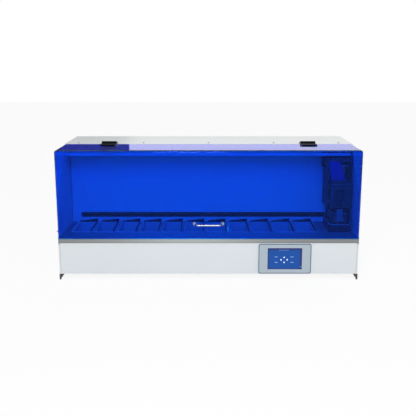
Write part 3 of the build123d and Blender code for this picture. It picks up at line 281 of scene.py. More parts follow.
zinc = bright_steel("zinc_plate", (0.72, 0.73, 0.74), 0.22)
# Near-black paint for the shade inside screw recesses and bolt sockets.
recess_shade_paint = soft_rubber("painted_recess_shade", (0.012, 0.012, 0.014), 0.8)
side_face = 0.662
rear_face = 0.2825
heads = bmesh.new()
recess_shade_marks = bmesh.new()
screw_places = []
for side in (-1, 1):
    for y, z in ((-0.215, 0.045), (-0.085, 0.045), (0.045, 0.045), (0.160, 0.045), (0.262, 0.045), (0.262, 0.175),
                 (0.262, 0.305), (0.262, 0.435), (0.262, 0.560), (0.140, 0.560), (0.040, 0.560)):
        screw_places.append(((side, 0, 0), (side * side_face, y, z)))
for row, levels in (((-0.648, -0.432, -0.216, 0.0, 0.216, 0.432, 0.648), (0.035, 0.568)),
                    ((-0.648, 0.648), (0.210, 0.390))):
    for x in row:
        for z in levels:
            screw_places.append(((0, 1, 0), (x, rear_face, z)))
for direction, place in screw_places:
    add_screw(heads, recess_shade_marks, direction, place, 0.004, 0.0022)
finish_piece("panel_screw_heads", heads, zinc, "cabinet", smooth=True)
finish_piece("panel_screw_recess_shade", recess_shade_marks, recess_shade_paint, "cabinet")


# Roof strip screws: five small black screws that hold the strip under the hinges, each with a near-black cross on
# top that paints the shade of its recess.
blackened = bright_steel("blackened_steel", (0.035, 0.036, 0.04), 0.35)
dress(blackened, "roof_screws")
roof_screw_pitch = 0.302
roof_recess_shade_marks = bmesh.new()
for step in range(-2, 3):
    settle(roof_recess_shade_marks, recess_shade_cross(0.0035, 0.0021), facing((0, 0, 1), (roof_screw_pitch * step, 0.0115, 0.578)))
finish_piece("roof_screw_recess_shade", roof_recess_shade_marks, recess_shade_paint, "cabinet")


# Deck: one stainless sheet, brushed along the cabinet, folded down in front as the bright band under the cover.
# The pot in the wax bath is the same steel, brushed up and down.
def comb(material, share):
    """Stretches the gloss across the brushing, which runs along the cabinet."""
    tree = material.node_tree
    steel = tree.nodes["Principled BSDF"]
    steel.inputs["Anisotropic"].default_value = share
    grain = tree.nodes.new("ShaderNodeTangent")
    grain.direction_type = "RADIAL"
    grain.axis = "X"
    tree.links.new(grain.outputs["Tangent"], steel.inputs["Tangent"])
    return material


dress(comb(brushed_steel("brushed_deck_steel", (0.35, 0.37, 0.37), 0.5), 0.9), "deck")
dress(brushed_steel("pot_steel", (0.60, 0.60, 0.60), 0.25, (40, 40, 4)), "wax_pot")


# Tanks: moulded from natural polypropylene, milky and a little see-through, with a waxy sheen. A dark strip runs
# along each one's rear edge.
tank_plastic, tree, milk = new_material("milky_polypropylene")
vary(tree, milk, "Base Color", object_noise(tree, 5.0), (0.54, 0.57, 0.60), (0.61, 0.63, 0.66))
milk.inputs["Roughness"].default_value = 0.38
milk.inputs["Subsurface Weight"].default_value = 0.3
milk.inputs["Subsurface Scale"].default_value = 0.004
roughen(tree, milk, object_noise(tree, 220.0), 0.0001, 0.3)
dress(tank_plastic, *[name for name in nodes if name.startswith(("tank_0", "tank_1"))])


# Fill marks: two moulded ridges on the tank's front wall, inside, show the lowest and highest level, and the
# tank's place in the row is moulded as a number on its front rim.
def meshed(curve):
    """A part made from letters or a curve, which don't stay in the file."""
    carrier = bpy.data.objects.new("carrier", curve)
    mesh = bpy.data.meshes.new_from_object(carrier)
    bpy.data.objects.remove(carrier)
    bpy.data.curves.remove(curve)
    part = bmesh.new()
    part.from_mesh(mesh)
    bpy.data.meshes.remove(mesh)
    return part


def add_number(shape, digits, height, thickness, place):
    """Raised digits, turned into mesh before they go to their place."""
    letters = bpy.data.curves.new("digits", "FONT")
    letters.body = digits
    letters.size = height
    letters.extrude = thickness
    letters.align_x = "CENTER"
    letters.resolution_u = 3
    settle(shape, meshed(letters), place)


tank_count = 11
tank_pitch = 0.103
first_tank = -0.5795
rim_top = 0.1895
tank_front_wall = -0.1199
fill_marks = bmesh.new()
numbers = bmesh.new()
for step in range(tank_count):
    middle = first_tank + tank_pitch * step
    for level, half in ((0.150, 0.020), (0.128, 0.012)):
        add_block(fill_marks, (middle - half, tank_front_wall, level),
                  (middle + half, tank_front_wall + 0.0010, level + 0.0012), 0.0003, 1)
    add_number(numbers, str(step + 1), 0.011, 0.00025, Matrix.Translation((middle, -0.1325, rim_top)))
finish_piece("tank_fill_marks", fill_marks, tank_plastic, "cabinet")
finish_piece("tank_numbers", numbers, tank_plastic, "cabinet")


# Fan, inlet, switch and the display's module: moulded in black plastic with a fine grain, and the dark strips along
# the tanks' rear edges take the same finish. The rocker of the switch is smoother.
def moulded_plastic(name, color, rough, shine=0.5):
    """Dyed plastic from a grained mould."""
    material, tree, plastic = new_material(name)
    lighter = tuple(1.3 * part + 0.002 for part in color)
    vary(tree, plastic, "Base Color", object_noise(tree, 25.0, 3.0), color, lighter)
    plastic.inputs["Specular IOR Level"].default_value = shine
    vary(tree, plastic, "Roughness", object_noise(tree, 120.0), rough - 0.04, rough + 0.06)
    roughen(tree, plastic, object_noise(tree, 700.0), 0.00008, 0.5)
    return material


black_plastic = moulded_plastic("black_plastic", (0.004, 0.005, 0.007), 0.5, shine=0.16)
dress(black_plastic, "tank_grips", "fan_frame", "power_inlet", "switch_body", "display_module")
dress(moulded_plastic("rocker_plastic", (0.008, 0.008, 0.009), 0.25), "switch_rocker")


# Wax bath: a heated housing, coated black, stands through the deck round a steel pot. The pot's upper edge is
# rolled over into a bead that stiffens it; the bead takes a brighter zinc finish than the pot, which partly paints
# the light line along the rim.
def dark_coat(name, color, rough):
    """Dark powder coat with a coarser grain than the white one."""
    material, tree, coat = new_material(name)
    lighter = tuple(1.5 * part for part in color)
    vary(tree, coat, "Base Color", object_noise(tree, 8.0, 3.0), color, lighter)
    coat.inputs["Specular IOR Level"].default_value = 0.35
    vary(tree, coat, "Roughness", object_noise(tree, 70.0), rough - 0.05, rough + 0.08)
    roughen(tree, coat, object_noise(tree, 1100.0), 0.00006, 0.6)
    return material


dress(dark_coat("bath_coat", (0.018, 0.019, 0.021), 0.55), "bath_housing")


def rounded_loop(shape, width, length, corner, height, segments=4):
    """The rim of a rectangle with round corners, lying flat at a height."""
    rim = bmesh.new()
    bmesh.ops.create_grid(rim, x_segments=1, y_segments=1, size=0.5)
    bmesh.ops.scale(rim, vec=(width, length, 1), verts=rim.verts)
    bmesh.ops.bevel(rim, geom=list(rim.verts), offset=corner, segments=segments, profile=0.5, affect="VERTICES",
                    material=-1)
    bmesh.ops.translate(rim, vec=(0, 0, height), verts=rim.verts)
    bmesh.ops.delete(rim, geom=list(rim.faces), context="FACES_ONLY")
    carried = bpy.data.meshes.new("carried")
    rim.to_mesh(carried)
    rim.free()
    before = set(shape.edges)
    shape.from_mesh(carried)
    bpy.data.meshes.remove(carried)
    return [edge for edge in shape.edges if edge not in before]


def add_frame(shape, levels, place):
    """A closed frame through rims of width, length, corner and height, in order, set at its place."""
    part = bmesh.new()
    rims = [rounded_loop(part, *level) for level in levels]
    for first, second in zip(rims, rims[1:] + rims[:1]):
        bmesh.ops.bridge_loops(part, edges=first + second)
    settle(shape, part, place)


bath_x = 0.598
bath_y = -0.0445
# The bead's brighter zinc, unlike the pot's steel, paints a highlight along the rim.
pot_bead_highlight = bmesh.new()
add_frame(pot_bead_highlight, [(0.0934, 0.1754, 0.006, 0), (0.0940, 0.1760, 0.006, 0.0009), (0.0930, 0.1750, 0.006, 0.0018),
                     (0.0906, 0.1726, 0.005, 0.0018), (0.0898, 0.1718, 0.005, 0.0009), (0.0906, 0.1726, 0.005, 0)],
          Matrix.Translation((bath_x, bath_y, 0.2223)))
finish_piece("pot_rolled_bead_highlight", pot_bead_highlight, zinc, "cabinet", smooth=True)


# Cross drive, behind the chamber wall: an aluminium beam with a ground rail on top, brackets, pulleys and bridge of
# the same bare aluminium, and a black toothed rubber belt. The rail is held down by bolts sunk into it, each with a
# near-black disc on top that paints the shade in its socket.
bare_aluminium = brushed_steel("bare_aluminium", (0.62, 0.63, 0.64), 0.34, (6, 60, 60))
dress(bare_aluminium, "rail_beam", "slot_bridge", "pulley_brackets", "drive_pulley", "idler_pulley", "power_supply")
dress(brushed_steel("ground_rail", (0.50, 0.51, 0.52), 0.18), "cross_rail", "rail_block")
belt_rubber = soft_rubber("belt_rubber", (0.02, 0.02, 0.02), 0.6)
dress(belt_rubber, "drive_belt")

bolt_pitch = 0.06
rail_bolts = bmesh.new()
bolt_socket_shade_marks = bmesh.new()
for step in range(-10, 11):
    bolt = (bolt_pitch * step, 0.1485, 0.2025)
    settle(rail_bolts, turned([(0, 0.0003), (0.0028, 0.0003), (0.0031, 0), (0.0031, -0.0004), (0, -0.0004)], 16),
           Matrix.Translation(bolt))
    settle(bolt_socket_shade_marks, turned([(0, 0.0004), (0.0015, 0.0004), (0.0015, 0), (0, 0)], 6), Matrix.Translation(bolt))
finish_piece("rail_bolts", rail_bolts, blackened, "cabinet")
finish_piece("rail_bolt_socket_shade", bolt_socket_shade_marks, recess_shade_paint, "cabinet")

pulley_line = 0.0985
inner_run = 0.01565
first_tooth = -0.603
tooth_pitch = 0.005
tooth_count = 243
tooth_height = 0.0012
belt_teeth = bmesh.new()
for side in (-1, 1):
    near, far = sorted((pulley_line + side * inner_run, pulley_line + side * (inner_run - tooth_height)))
    for step in range(tooth_count):
        middle = first_tooth + tooth_pitch * step
        add_block(belt_teeth, (middle - 0.0012, near, 0.1945), (middle + 0.0012, far, 0.2075))
finish_piece("belt_teeth", belt_teeth, belt_rubber, "cabinet")


# Step motors: a black laminated body between two cast end bells, with four long screws through the corners. The
# cross motor hangs under its bracket, the lift motor stands on top of the guide frame.
dress(dark_coat("motor_coat", (0.02, 0.02, 0.022), 0.4), "cross_motor", "lift_motor")


def dress_motor(name, x, y, low, high, body):
    """End bells and corner screws round a square motor."""
    outer, inner, depth = 0.0427, 0.0397, 0.008
    bells = bmesh.new()
    for bottom, top in ((low, low + depth), (high - depth, high)):
        add_frame(bells, [(outer, outer, 0.004, bottom), (outer, outer, 0.004, top),
                          (inner, inner, 0.003, top), (inner, inner, 0.003, bottom)],
                  Matrix.Translation((x, y, 0)))
    finish_piece(name + "_end_bells", bells, bare_aluminium, body)
    screws = bmesh.new()
    for across in (-0.0155, 0.0155):
        for along in (-0.0155, 0.0155):
            settle(screws, turned(pan_head(0.0026, 0.0016), 12), facing((0, 0, 1), (x + across, y + along, high)))
    finish_piece(name + "_screws", screws, zinc, body, smooth=True)


lift_screw_y = 0.0105
dress_motor("lift_motor", bath_x, lift_screw_y, 0.4762, 0.5100, "carriage")
motor_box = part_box("cross_motor")
dress_motor("cross_motor", -0.628, pulley_line, motor_box[0][2], 0.1781, "cabinet")


# Lift tower: folded sheet with a matt dark grey coat, and a boxed cover over its lower half with a framed recess.
# A strip of lighter metal along the cover's top edge paints the highlight that edge catches. Four button screws
# hold the cover, and a travel switch sits at the upper left.
tower_coat = dark_coat("tower_coat", (0.045, 0.056, 0.048), 0.5)
dress(tower_coat, "tower_channel", "tower_cover")
dull_steel = brushed_steel("dull_sheet", (0.26, 0.30, 0.32), 0.4, (60, 4, 60))
tower_front = -0.1015
# Lighter strip on the cover's top edge: a painted highlight.
tower_edge_highlight = bmesh.new()
add_block(tower_edge_highlight, (0.5596, tower_front + 0.0005, 0.4026), (0.6466, tower_front + 0.0150, 0.4038), 0.0003)
finish_piece("tower_cover_top_highlight", tower_edge_highlight, dull_steel, "carriage")
recess_shade = bmesh.new()
add_block(recess_shade, (0.5765, -0.0790, 0.3000), (0.6195, -0.0760, 0.3780), 0.0005)
finish_piece("tower_recess_back", recess_shade, tower_coat, "carriage")
tower_screws = bmesh.new()
# Each screw carries a near-black cross: the painted shade of its recess.
tower_recess_shade_marks = bmesh.new()
for x in (0.566, 0.644):
    for z in (0.304, 0.393):
        add_screw(tower_screws, tower_recess_shade_marks, (0, -1, 0), (x, tower_front, z), 0.003, 0.0016, 14)
finish_piece("tower_cover_screws", tower_screws, blackened, "carriage", smooth=True)
finish_piece("tower_cover_screw_recess_shade", tower_recess_shade_marks, recess_shade_paint, "carriage")
travel_switch = bmesh.new()
add_block(travel_switch, (0.5245, -0.0300, 0.4720), (0.5438, -0.0140, 0.5160), 0.0012)
add_block(travel_switch, (0.5275, -0.0312, 0.4790), (0.5405, -0.0300, 0.5090), 0.0004)
finish_piece("travel_switch", travel_switch, black_plastic, "carriage", smooth=True)


# Brace of the lift tower: a leaning plate across its upper half, anodised blue. Guides and lift parts: hard bright
# rods in aluminium end plates, a bronze slider, and a black anodised arm that carries the basket.
dress(brushed_steel("blue_anodised", (0.035, 0.05, 0.42), 0.4, (60, 4, 60)), "tower_brace")
dress(bare_aluminium, "guide_frame")
dress(brushed_steel("bronze", (0.50, 0.33, 0.15), 0.35, (20, 20, 20)), "lift_slider")
dress(brushed_steel("black_anodised", (0.03, 0.034, 0.04), 0.45, (60, 60, 4)), "lift_arm")
dress(zinc, "lift_screw")
thread_pitch = 0.004
thread_turns = 42
steps_a_turn = 12
thread = bmesh.new()
ridge = [thread.verts.new(corner) for corner in ((0.0039, 0, 0.3010), (0.0045, 0, 0.3020), (0.0039, 0, 0.3030))]
ridge_rims = [thread.edges.new(pair) for pair in zip(ridge, ridge[1:])]
bmesh.ops.spin(thread, geom=ridge + ridge_rims, cent=(0, 0, 0), axis=(0, 0, 1),
               dvec=(0, 0, thread_pitch / steps_a_turn), angle=2 * math.pi * thread_turns,
               steps=thread_turns * steps_a_turn, use_merge=False, use_normal_flip=False, use_duplicate=False)
bmesh.ops.translate(thread, vec=(bath_x, lift_screw_y, 0), verts=thread.verts)
finish_piece("lift_screw_thread", thread, zinc, "screw", smooth=True)


# Basket: dark coated sheet with a bail of thin dull steel over it, which hangs on the arm's hook. Its upper rim is
# rolled round a wire.
dress(tower_coat, "basket")
dress(dull_steel, "basket_bail")
basket_rim = bmesh.new()
add_frame(basket_rim, [(0.0670, 0.1410, 0.003, 0), (0.0676, 0.1416, 0.003, 0.0010), (0.0666, 0.1406, 0.003, 0.0020),
                       (0.0646, 0.1386, 0.002, 0.0020), (0.0640, 0.1380, 0.002, 0.0010), (0.0646, 0.1386, 0.002, 0)],
          Matrix.Translation((bath_x, bath_y, 0.2705)))
finish_piece("basket_rolled_rim", basket_rim, dull_steel, "lift", smooth=True)


# Cable anchor: a pale nylon block on the chamber wall beside the slot's right end.
anchor = bmesh.new()
add_block(anchor, (0.4945, 0.0585, 0.1895), (0.5255, 0.0735, 0.2085), 0.0016)
finish_piece("wall_anchor_block", anchor, moulded_plastic("pale_nylon", (0.62, 0.66, 0.70), 0.4), "cabinet",
             smooth=True)


# Hinges: two black moulded hinges join the roof strip to the cover, each held by countersunk screws with a painted
# dark cross for the shade in their recesses. A steel pin runs through the knuckles, and its rounded ends stand out a
# little.
dress(moulded_plastic("hinge_plastic", (0.004, 0.005, 0.007), 0.35, shine=0.03), "roof_leaves", "cover_leaves")
pin_ends = bmesh.new()
for leaf, body, rows in (("roof_leaf", "cabinet", (-0.0030,)), ("cover_leaf", "cover", (-0.0780, -0.0560))):
    hinge_screws = bmesh.new()
    hinge_recess_shade_marks = bmesh.new()
    for x in (-0.478, -0.432, 0.432, 0.478):
        for y in rows:
            add_screw(hinge_screws, hinge_recess_shade_marks, (0, 0, 1), (x, y, 0.5830), 0.0034, 0.0006)
    finish_piece(leaf + "_screws", hinge_screws, blackened, body, smooth=True)
    finish_piece(leaf + "_screw_recess_shade", hinge_recess_shade_marks, recess_shade_paint, body)
for x, side in ((-0.489, -1), (-0.421, 1), (0.421, -1), (0.489, 1)):
    settle(pin_ends, turned([(0, 0.0016), (0.0014, 0.0014), (0.0022, 0.0006), (0.0022, 0), (0, 0)], 14),
           facing((side, 0, 0), (x, -0.0305, 0.585)))
finish_piece("hinge_pin_ends", pin_ends, zinc, "cabinet", smooth=True)


# Wire pull and cap nuts of the cover: bent steel rod, nickel plated, with a collar at each foot.
plated_steel = bright_steel("nickel_plate", (0.44, 0.47, 0.49), 0.3)
dress(plated_steel, "cover_handle", "cover_fasteners")


# Cover: one sheet of acrylic, dyed blue all through and bent hot along its top edge, with a wing at each end. A
# drip strip of the same sheet, glued over the lower edge of its front, laps over the joint to the deck.
def blend_shaders(tree, share, first, second, output):
    """Gives a share of the rays the second shader, and the rest the first."""
    mixed = tree.nodes.new("ShaderNodeMixShader")
    tree.links.new(share, mixed.inputs["Fac"])
    tree.links.new(first, mixed.inputs[1])
    tree.links.new(second, mixed.inputs[2])
    tree.links.new(mixed.outputs["Shader"], tree.nodes[output].inputs["Surface"])


def dyed_acrylic(name, dye, depth):
    """Acrylic dyed all through, pale where it is thin and navy along its edges. Lamps shine in through it."""
    material, tree, sheet = new_material(name)
    sheet.inputs["Base Color"].default_value = (1, 1, 1, 1)
    sheet.inputs["Transmission Weight"].default_value = 1.0
    sheet.inputs["IOR"].default_value = 1.49
    sheet.inputs["Specular Tint"].default_value = (0.1, 0.25, 1, 1)
    vary(tree, sheet, "Roughness", object_noise(tree, 6.0), 0.01, 0.03)
    roughen(tree, sheet, object_noise(tree, 7.0), 0.0008, 0.12)
    clear = tree.nodes.new("ShaderNodeBsdfTransparent")
    path = tree.nodes.new("ShaderNodeLightPath")
    blend_shaders(tree, path.outputs["Is Shadow Ray"], sheet.outputs["BSDF"], clear.outputs["BSDF"],
                  "Material Output")
    volume = tree.nodes.new("ShaderNodeVolumeAbsorption")
    volume.inputs["Color"].default_value = (*dye, 1)
    volume.inputs["Density"].default_value = depth
    tree.links.new(volume.outputs["Volume"], tree.nodes["Material Output"].inputs["Volume"])
    return material


blue_acrylic = dyed_acrylic("blue_acrylic", (0.0, 0.775, 0.985), 1100.0)
dress(blue_acrylic, "cover_shell")
drip_strip = bmesh.new()
add_block(drip_strip, (-0.6615, front_face - 0.0020, 0.1868), (0.6615, front_face - 0.0001, 0.1960), 0.0004)
finish_piece("cover_drip_strip", drip_strip, blue_acrylic, "cover")


# Display bezel: a pale grey-blue moulding with round corners stands on the front panel, with a raised slate-blue
# line round its edge and a window for the screen.
bezel_x, bezel_z = 0.3369, 0.0976
bezel_place = facing((0, -1, 0), (bezel_x, front_face, bezel_z))
bezel_plastic, tree, bezel_shader = new_material("bezel_plastic")
vary(tree, bezel_shader, "Base Color", object_noise(tree, 30.0), (0.42, 0.50, 0.56), (0.46, 0.54, 0.60))
bezel_shader.inputs["Roughness"].default_value = 0.35
roughen(tree, bezel_shader, object_noise(tree, 800.0), 0.00005, 0.4)
bezel = bmesh.new()
bmesh.ops.create_grid(bezel, x_segments=1, y_segments=1, size=0.5)
bmesh.ops.scale(bezel, vec=(0.2320, 0.1360, 1), verts=bezel.verts)
bmesh.ops.bevel(bezel, geom=list(bezel.verts), offset=0.008, segments=5, profile=0.5, affect="VERTICES", material=-1)
window_half = Vector((0.0760, 0.04875, 0))
for cut, across in ((Vector((1, 0, 0)), window_half.x), (Vector((0, 1, 0)), window_half.y)):
    for side in (-1, 1):
        bmesh.ops.bisect_plane(bezel, geom=bezel.verts[:] + bezel.edges[:] + bezel.faces[:], dist=1e-7,
                               plane_co=cut * side * across, plane_no=cut)
centre = [face for face in bezel.faces if abs(face.calc_center_median().x) < window_half.x
          and abs(face.calc_center_median().y) < window_half.y]
bmesh.ops.delete(bezel, geom=centre, context="FACES")
raised = bmesh.ops.extrude_face_region(bezel, geom=bezel.faces[:], use_keep_orig=True)["geom"]
raised_corners = [corner for corner in raised if isinstance(corner, bmesh.types.BMVert)]
bmesh.ops.translate(bezel, vec=(0, 0, 0.0050), verts=raised_corners)
bmesh.ops.recalc_face_normals(bezel, faces=bezel.faces)
brims = [edge for edge in bezel.edges if edge.calc_face_angle(0) > 1 and min(end.co.z for end in edge.verts) > 0.004]
bmesh.ops.bevel(bezel, geom=brims, offset=0.0007, segments=2, profile=0.5, affect="EDGES", material=-1)
bezel.transform(bezel_place)
piece = finish_piece("display_bezel_moulding", bezel, bezel_plastic, "cabinet")
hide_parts("display_bezel")
slate, tree, slate_shader = new_material("slate_line")
vary(tree, slate_shader, "Base Color", object_noise(tree, 60.0), (0.055, 0.11, 0.20), (0.07, 0.13, 0.23))
slate_shader.inputs["Roughness"].default_value = 0.4
outline = bmesh.new()
add_frame(outline, [(0.2322, 0.1362, 0.008, 0.0040), (0.2322, 0.1362, 0.008, 0.0056), (0.2262, 0.1302, 0.006, 0.0056),
                    (0.2262, 0.1302, 0.006, 0.0050)], bezel_place)
finish_piece("display_outline", outline, slate, "cabinet")


# Touch screen: a glossy plate behind the window, shown lit. It has darker fields along its edges, a row of small
# dashes in the upper one, four direction signs round the middle, four dashes beside them and a small key at the
# lower right.
screen_glass, tree, screen_shader = new_material("screen_glass")
screen_shader.inputs["Specular IOR Level"].default_value = 0.12
screen_shader.inputs["Emission Color"].default_value = (0.01, 0.07, 0.33, 1)
screen_shader.inputs["Emission Strength"].default_value = 0.45
vary(tree, screen_shader, "Base Color", object_noise(tree, 12.0), (0.010, 0.055, 0.23), (0.012, 0.065, 0.26))
vary(tree, screen_shader, "Roughness", object_noise(tree, 40.0), 0.10, 0.20)
glass_face = -0.2546
glass = bmesh.new()
add_block(glass, (bezel_x - 0.0775, glass_face, bezel_z - 0.0500),
          (bezel_x + 0.0775, glass_face + 0.0016, bezel_z + 0.0500), 0.0004)
piece = finish_piece("display_glass_plate", glass, screen_glass, "cabinet")
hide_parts("display_glass")


def lit_paint(name, color, strength):
    """A colour on the screen, or a printed one where the strength is nought."""
    material, tree, shader = new_material(name)
    vary(tree, shader, "Base Color", object_noise(tree, 50.0), tuple(0.8 * part for part in color), color)
    shader.inputs["Roughness"].default_value = 0.4
    shader.inputs["Emission Color"].default_value = (*color, 1)
    shader.inputs["Emission Strength"].default_value = strength
    return material


def add_sign(shape, corners, across, up):
    """A thin flat sign on the screen, from its corners in millimetres, set out from the screen's middle."""
    part = bmesh.new()
    face = part.faces.new([part.verts.new((0.001 * x, 0.001 * y, 0)) for x, y in corners])
    raised = bmesh.ops.extrude_face_region(part, geom=[face])["geom"]
    lifted = [corner for corner in raised if isinstance(corner, bmesh.types.BMVert)]
    bmesh.ops.translate(part, vec=(0, 0, 0.00015), verts=lifted)
    settle(shape, part, facing((0, -1, 0), (bezel_x + 0.001 * across, glass_face, bezel_z + 0.001 * up)))


def bar(width, height):
    """The corners of an upright rectangle round the middle."""
    return [(-width / 2, -height / 2), (width / 2, -height / 2), (width / 2, height / 2), (-width / 2, height / 2)]


dark_fields = bmesh.new()
for width, height, across, up in ((151, 9.5, 0, 43.8), (5, 88.5, -73, -5), (9, 88.5, 71, -5), (151, 3.5, 0, -46.8)):
    add_sign(dark_fields, bar(width, height), across, up)
finish_piece("screen_dark_fields", dark_fields, lit_paint("screen_navy", (0.004, 0.022, 0.15), 0.3), "cabinet")
signs = bmesh.new()
for turn, across, up in ((0, -2.8, 6.2), (1, -16.5, -5.1), (2, -2.8, -17.0), (3, 10.9, -5.1)):
    spin = math.radians(90 * turn)
    arrow = [(-3.4, -2.4), (3.4, -2.4), (3.4, 0.4), (0, 3.6), (-3.4, 0.4)]
    turned_arrow = [(x * math.cos(spin) - y * math.sin(spin), x * math.sin(spin) + y * math.cos(spin))
                    for x, y in arrow]
    add_sign(signs, turned_arrow, across, up)
finish_piece("screen_direction_signs", signs, lit_paint("screen_white", (0.62, 0.74, 0.92), 0.7), "cabinet")
dashes = bmesh.new()
for across in (-38.0, 32.0):
    for up in (8.3, -17.0):
        add_sign(dashes, bar(14, 1.8), across, up)
for step in range(5):
    add_sign(dashes, bar(6.0, 2.6), -22.5 + 9.0 * step, 39.9)
add_sign(dashes, bar(5, 5), 70.5, -37.5)
finish_piece("screen_dashes", dashes, lit_paint("screen_pale_blue", (0.28, 0.44, 0.72), 0.7), "cabinet")


# Exhaust fan on the rear panel: a moulded rotor with seven swept blades in its frame, behind a guard of welded
# round wire. Four screws go through the guard's eyes and the panel into the frame.
fan_z = 0.430
rotor = bmesh.new()
settle(rotor, turned([(0, 0.0), (0.0165, 0.0), (0.0195, 0.003), (0.0195, 0.016), (0, 0.016)], 32),
       facing((0, -1, 0), (0, 0.2770, fan_z)))
for step in range(7):
    blade = bmesh.new()
    root_and_tip = [blade.verts.new((0.0190, 0, 0)), blade.verts.new((0.0370, 0, 0)), blade.verts.new((0.0545, 0, 0))]
    span = [blade.edges.new(pair) for pair in zip(root_and_tip, root_and_tip[1:])]
    bmesh.ops.spin(blade, geom=root_and_tip + span, cent=(0, 0, 0), axis=(0, 0, 1), dvec=(0, 0, 0.0014),
                   angle=math.radians(38), steps=8, use_merge=False, use_normal_flip=False, use_duplicate=False)
    bmesh.ops.recalc_face_normals(blade, faces=blade.faces)
    bmesh.ops.solidify(blade, geom=blade.faces, thickness=0.0014)
    settle(rotor, blade, facing((0, -1, 0), (0, 0.2752, fan_z)) @ Matrix.Rotation(step * math.tau / 7, 4, "Z"))
piece = finish_piece("fan_bladed_rotor", rotor, black_plastic, "fan", smooth=True)
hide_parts("fan_rotor")


def add_wire(shape, points, radius, closed=False):
    """Round wire bent through points."""
    line = bpy.data.curves.new("wire", "CURVE")
    line.dimensions = "3D"
    line.bevel_depth = radius
    line.bevel_resolution = 2
    line.use_fill_caps = True
    run = line.splines.new("POLY")
    run.points.add(len(points) - 1)
    for knot, point in zip(run.points, points):
        knot.co = (*point, 1)
    run.use_cyclic_u = closed
    settle(shape, meshed(line))


def circle_points(x, y, z, radius, count):
    """Points round an upright ring that faces the rear."""
    return [(x + radius * math.cos(math.tau * step / count), y, z + radius * math.sin(math.tau * step / count))
            for step in range(count)]


guard_y = 0.2903
eye_reach = 0.0525
guard = bmesh.new()
guard_screws = bmesh.new()
for radius in (0.0575, 0.0460, 0.0345, 0.0230, 0.0115):
    add_wire(guard, circle_points(0, guard_y, fan_z, radius, 40), 0.0010, True)
for x, z in ((1, 1), (-1, 1), (-1, -1), (1, -1)):
    path = [(x * out, y, fan_z + z * out) for out, y in ((0.0040, 0.2885), (0.0420, 0.2885), (0.0455, 0.2872),
                                                         (0.0480, 0.2842), (0.0496, 0.2836))]
    add_wire(guard, path, 0.0011)
    eye_x, eye_z = x * eye_reach, fan_z + z * eye_reach
    add_wire(guard, circle_points(eye_x, 0.2836, eye_z, 0.0040, 16), 0.0011, True)
    settle(guard_screws, turned(pan_head(0.0038, 0.0024), 16), facing((0, 1, 0), (eye_x, 0.2846, eye_z)))
piece = finish_piece("fan_wire_guard", guard, zinc, "cabinet", smooth=True)
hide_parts("fan_guard")
finish_piece("fan_guard_screws", guard_screws, zinc, "cabinet", smooth=True)


# Mains inlet and switch: two screws hold the inlet's flange, and the rocker carries the usual on and off marks,
# printed in white.
inlet_screws = bmesh.new()
for x in (0.4995, 0.5405):
    settle(inlet_screws, turned(pan_head(0.0026, 0.0016), 14), facing((0, 1, 0), (x, 0.2855, 0.090)))
finish_piece("inlet_screws", inlet_screws, zinc, "cabinet", smooth=True)
print_white = lit_paint("white_print", (0.78, 0.79, 0.80), 0.0)
marks = bmesh.new()
add_block(marks, (0.4514, 0.2834, 0.0940), (0.4526, 0.2838, 0.0990))
settle(marks, turned([(0.0018, 0), (0.0027, 0), (0.0027, 0.0002), (0.0018, 0.0002), (0.0018, 0)], 24),
       facing((0, 0.97, 0.243), (0.452, 0.2855, 0.084)))
finish_piece("rocker_marks", marks, print_white, "rocker")


# Control board: a green glass-fibre board with its chips and coolers, which lies over the bottom pan. Six small
# upright capacitors stand on its free edge.
dress(moulded_plastic("circuit_board", (0.02, 0.11, 0.045), 0.45), "control_board")
cans = bmesh.new()
can_pitch = 0.011
for step in range(6):
    settle(cans, turned([(0, 0), (0.004, 0), (0.004, 0.0095), (0.0036, 0.0102), (0, 0.0102)], 20),
           Matrix.Translation((0.100 + can_pitch * step, 0.1300, 0.0381)))
finish_piece("board_capacitors", cans, bare_aluminium, "cabinet", smooth=True)


# Floor: a wide pale table top that shows white and keeps a faint shadow of the cabinet.
def white_to_sight(tree, share):
    """The share of white that the camera, gloss and glass see, as a value socket."""
    path = tree.nodes.new("ShaderNodeLightPath")
    seen = tree.nodes.new("ShaderNodeMath")
    seen.operation = "MAXIMUM"
    seen_through = tree.nodes.new("ShaderNodeMath")
    seen_through.operation = "MAXIMUM"
    part = tree.nodes.new("ShaderNodeMath")
    part.operation = "MULTIPLY"
    part.inputs[1].default_value = share
    tree.links.new(path.outputs["Is Camera Ray"], seen.inputs[0])
    tree.links.new(path.outputs["Is Glossy Ray"], seen.inputs[1])
    tree.links.new(seen.outputs["Value"], seen_through.inputs[0])
    tree.links.new(path.outputs["Is Transmission Ray"], seen_through.inputs[1])
    tree.links.new(seen_through.outputs["Value"], part.inputs[0])
    return part.outputs["Value"]


def put_in_studio(name, shape, material):
    """Turns a shape into a thing of the studio, which isn't part of the object."""
    mesh = bpy.data.meshes.new(name)
    shape.to_mesh(mesh)
    shape.free()
    mesh.materials.append(material)
    thing = bpy.data.objects.new(name, mesh)
    bpy.context.scene.collection.objects.link(thing)


floor_paint, tree, matt = new_material("pale_floor")
matt.inputs["Base Color"].default_value = (0.90, 0.90, 0.90, 1)
matt.inputs["Roughness"].default_value = 0.9
glow = tree.nodes.new("ShaderNodeEmission")
blend_shaders(tree, white_to_sight(tree, 0.90), matt.outputs["BSDF"], glow.outputs["Emission"], "Material Output")
floor = bmesh.new()
bmesh.ops.create_grid(floor, x_segments=1, y_segments=1, size=12.0)
put_in_studio("floor", floor, floor_paint)


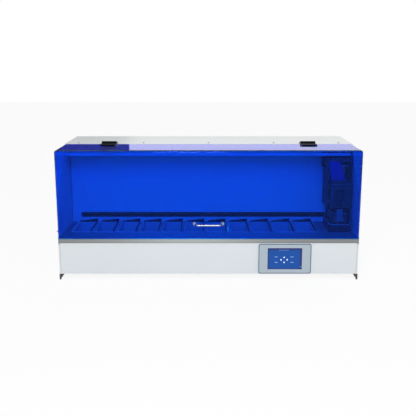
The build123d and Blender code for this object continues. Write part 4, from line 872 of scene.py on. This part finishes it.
# Dark flag behind the cabinet at the left: only gloss sees it, so the cover's top shows its own blue there and
# reflects the white room over the rest.
flag_cloth, tree, cloth = new_material("flag_cloth")
cloth.inputs["Base Color"].default_value = (0.02, 0.02, 0.025, 1)
clear = tree.nodes.new("ShaderNodeBsdfTransparent")
path = tree.nodes.new("ShaderNodeLightPath")
blend_shaders(tree, path.outputs["Is Glossy Ray"], clear.outputs["BSDF"], cloth.outputs["BSDF"], "Material Output")
flag = bmesh.new()
bmesh.ops.create_grid(flag, x_segments=1, y_segments=1, size=0.5)
bmesh.ops.scale(flag, vec=(1.6, 1.1, 1), verts=flag.verts)
flag.transform(facing((0, -1, 0), (-1.5, 2.8, 1.2)))
put_in_studio("dark_flag", flag, flag_cloth)


# Studio: a white room that lights evenly, a soft lamp over the front and a weaker lamp at the right.
world = bpy.data.worlds.new("studio")
bpy.context.scene.world = world
world.use_nodes = True
tree = world.node_tree
room = tree.nodes["Background"]
room.inputs["Color"].default_value = (1, 1, 1, 1)
room.inputs["Strength"].default_value = 0.58
white = tree.nodes.new("ShaderNodeBackground")
white.inputs["Color"].default_value = (1, 1, 1, 1)
white.inputs["Strength"].default_value = 1.0
blend_shaders(tree, white_to_sight(tree, 1.0), room.outputs["Background"], white.outputs["Background"],
              "World Output")


def softbox(name, place, target, width, height, watts):
    """A rectangular lamp aimed at a point."""
    light = bpy.data.lights.new(name, "AREA")
    light.shape = "RECTANGLE"
    light.size = width
    light.size_y = height
    light.energy = watts
    lamp = bpy.data.objects.new(name, light)
    bpy.context.scene.collection.objects.link(lamp)
    lamp.location = place
    lamp.rotation_euler = (Vector(target) - Vector(place)).to_track_quat("-Z", "Y").to_euler()


softbox("key_lamp", (-0.17, -2.6, 2.3), (-0.1, 0, 0.2), 0.6, 1.2, 37)
softbox("side_lamp", (2.8, -1.2, 1.6), (0, 0, 0.3), 1.6, 1.6, 10)


# Camera of the photograph, worked out from the cabinet's corners: level from left to right, looking down.
camera_data = bpy.data.cameras.new("photo_camera")
camera_data.sensor_width = 36.0
camera_data.lens = 57.78
camera = bpy.data.objects.new("photo_camera", camera_data)
bpy.context.scene.collection.objects.link(camera)
camera.location = (-0.0026, -3.0861, 0.9647)
camera.rotation_euler = (math.radians(90 - 12.684), 0, 0)
bpy.context.scene.camera = camera

bpy.context.scene.view_settings.view_transform = "Standard"
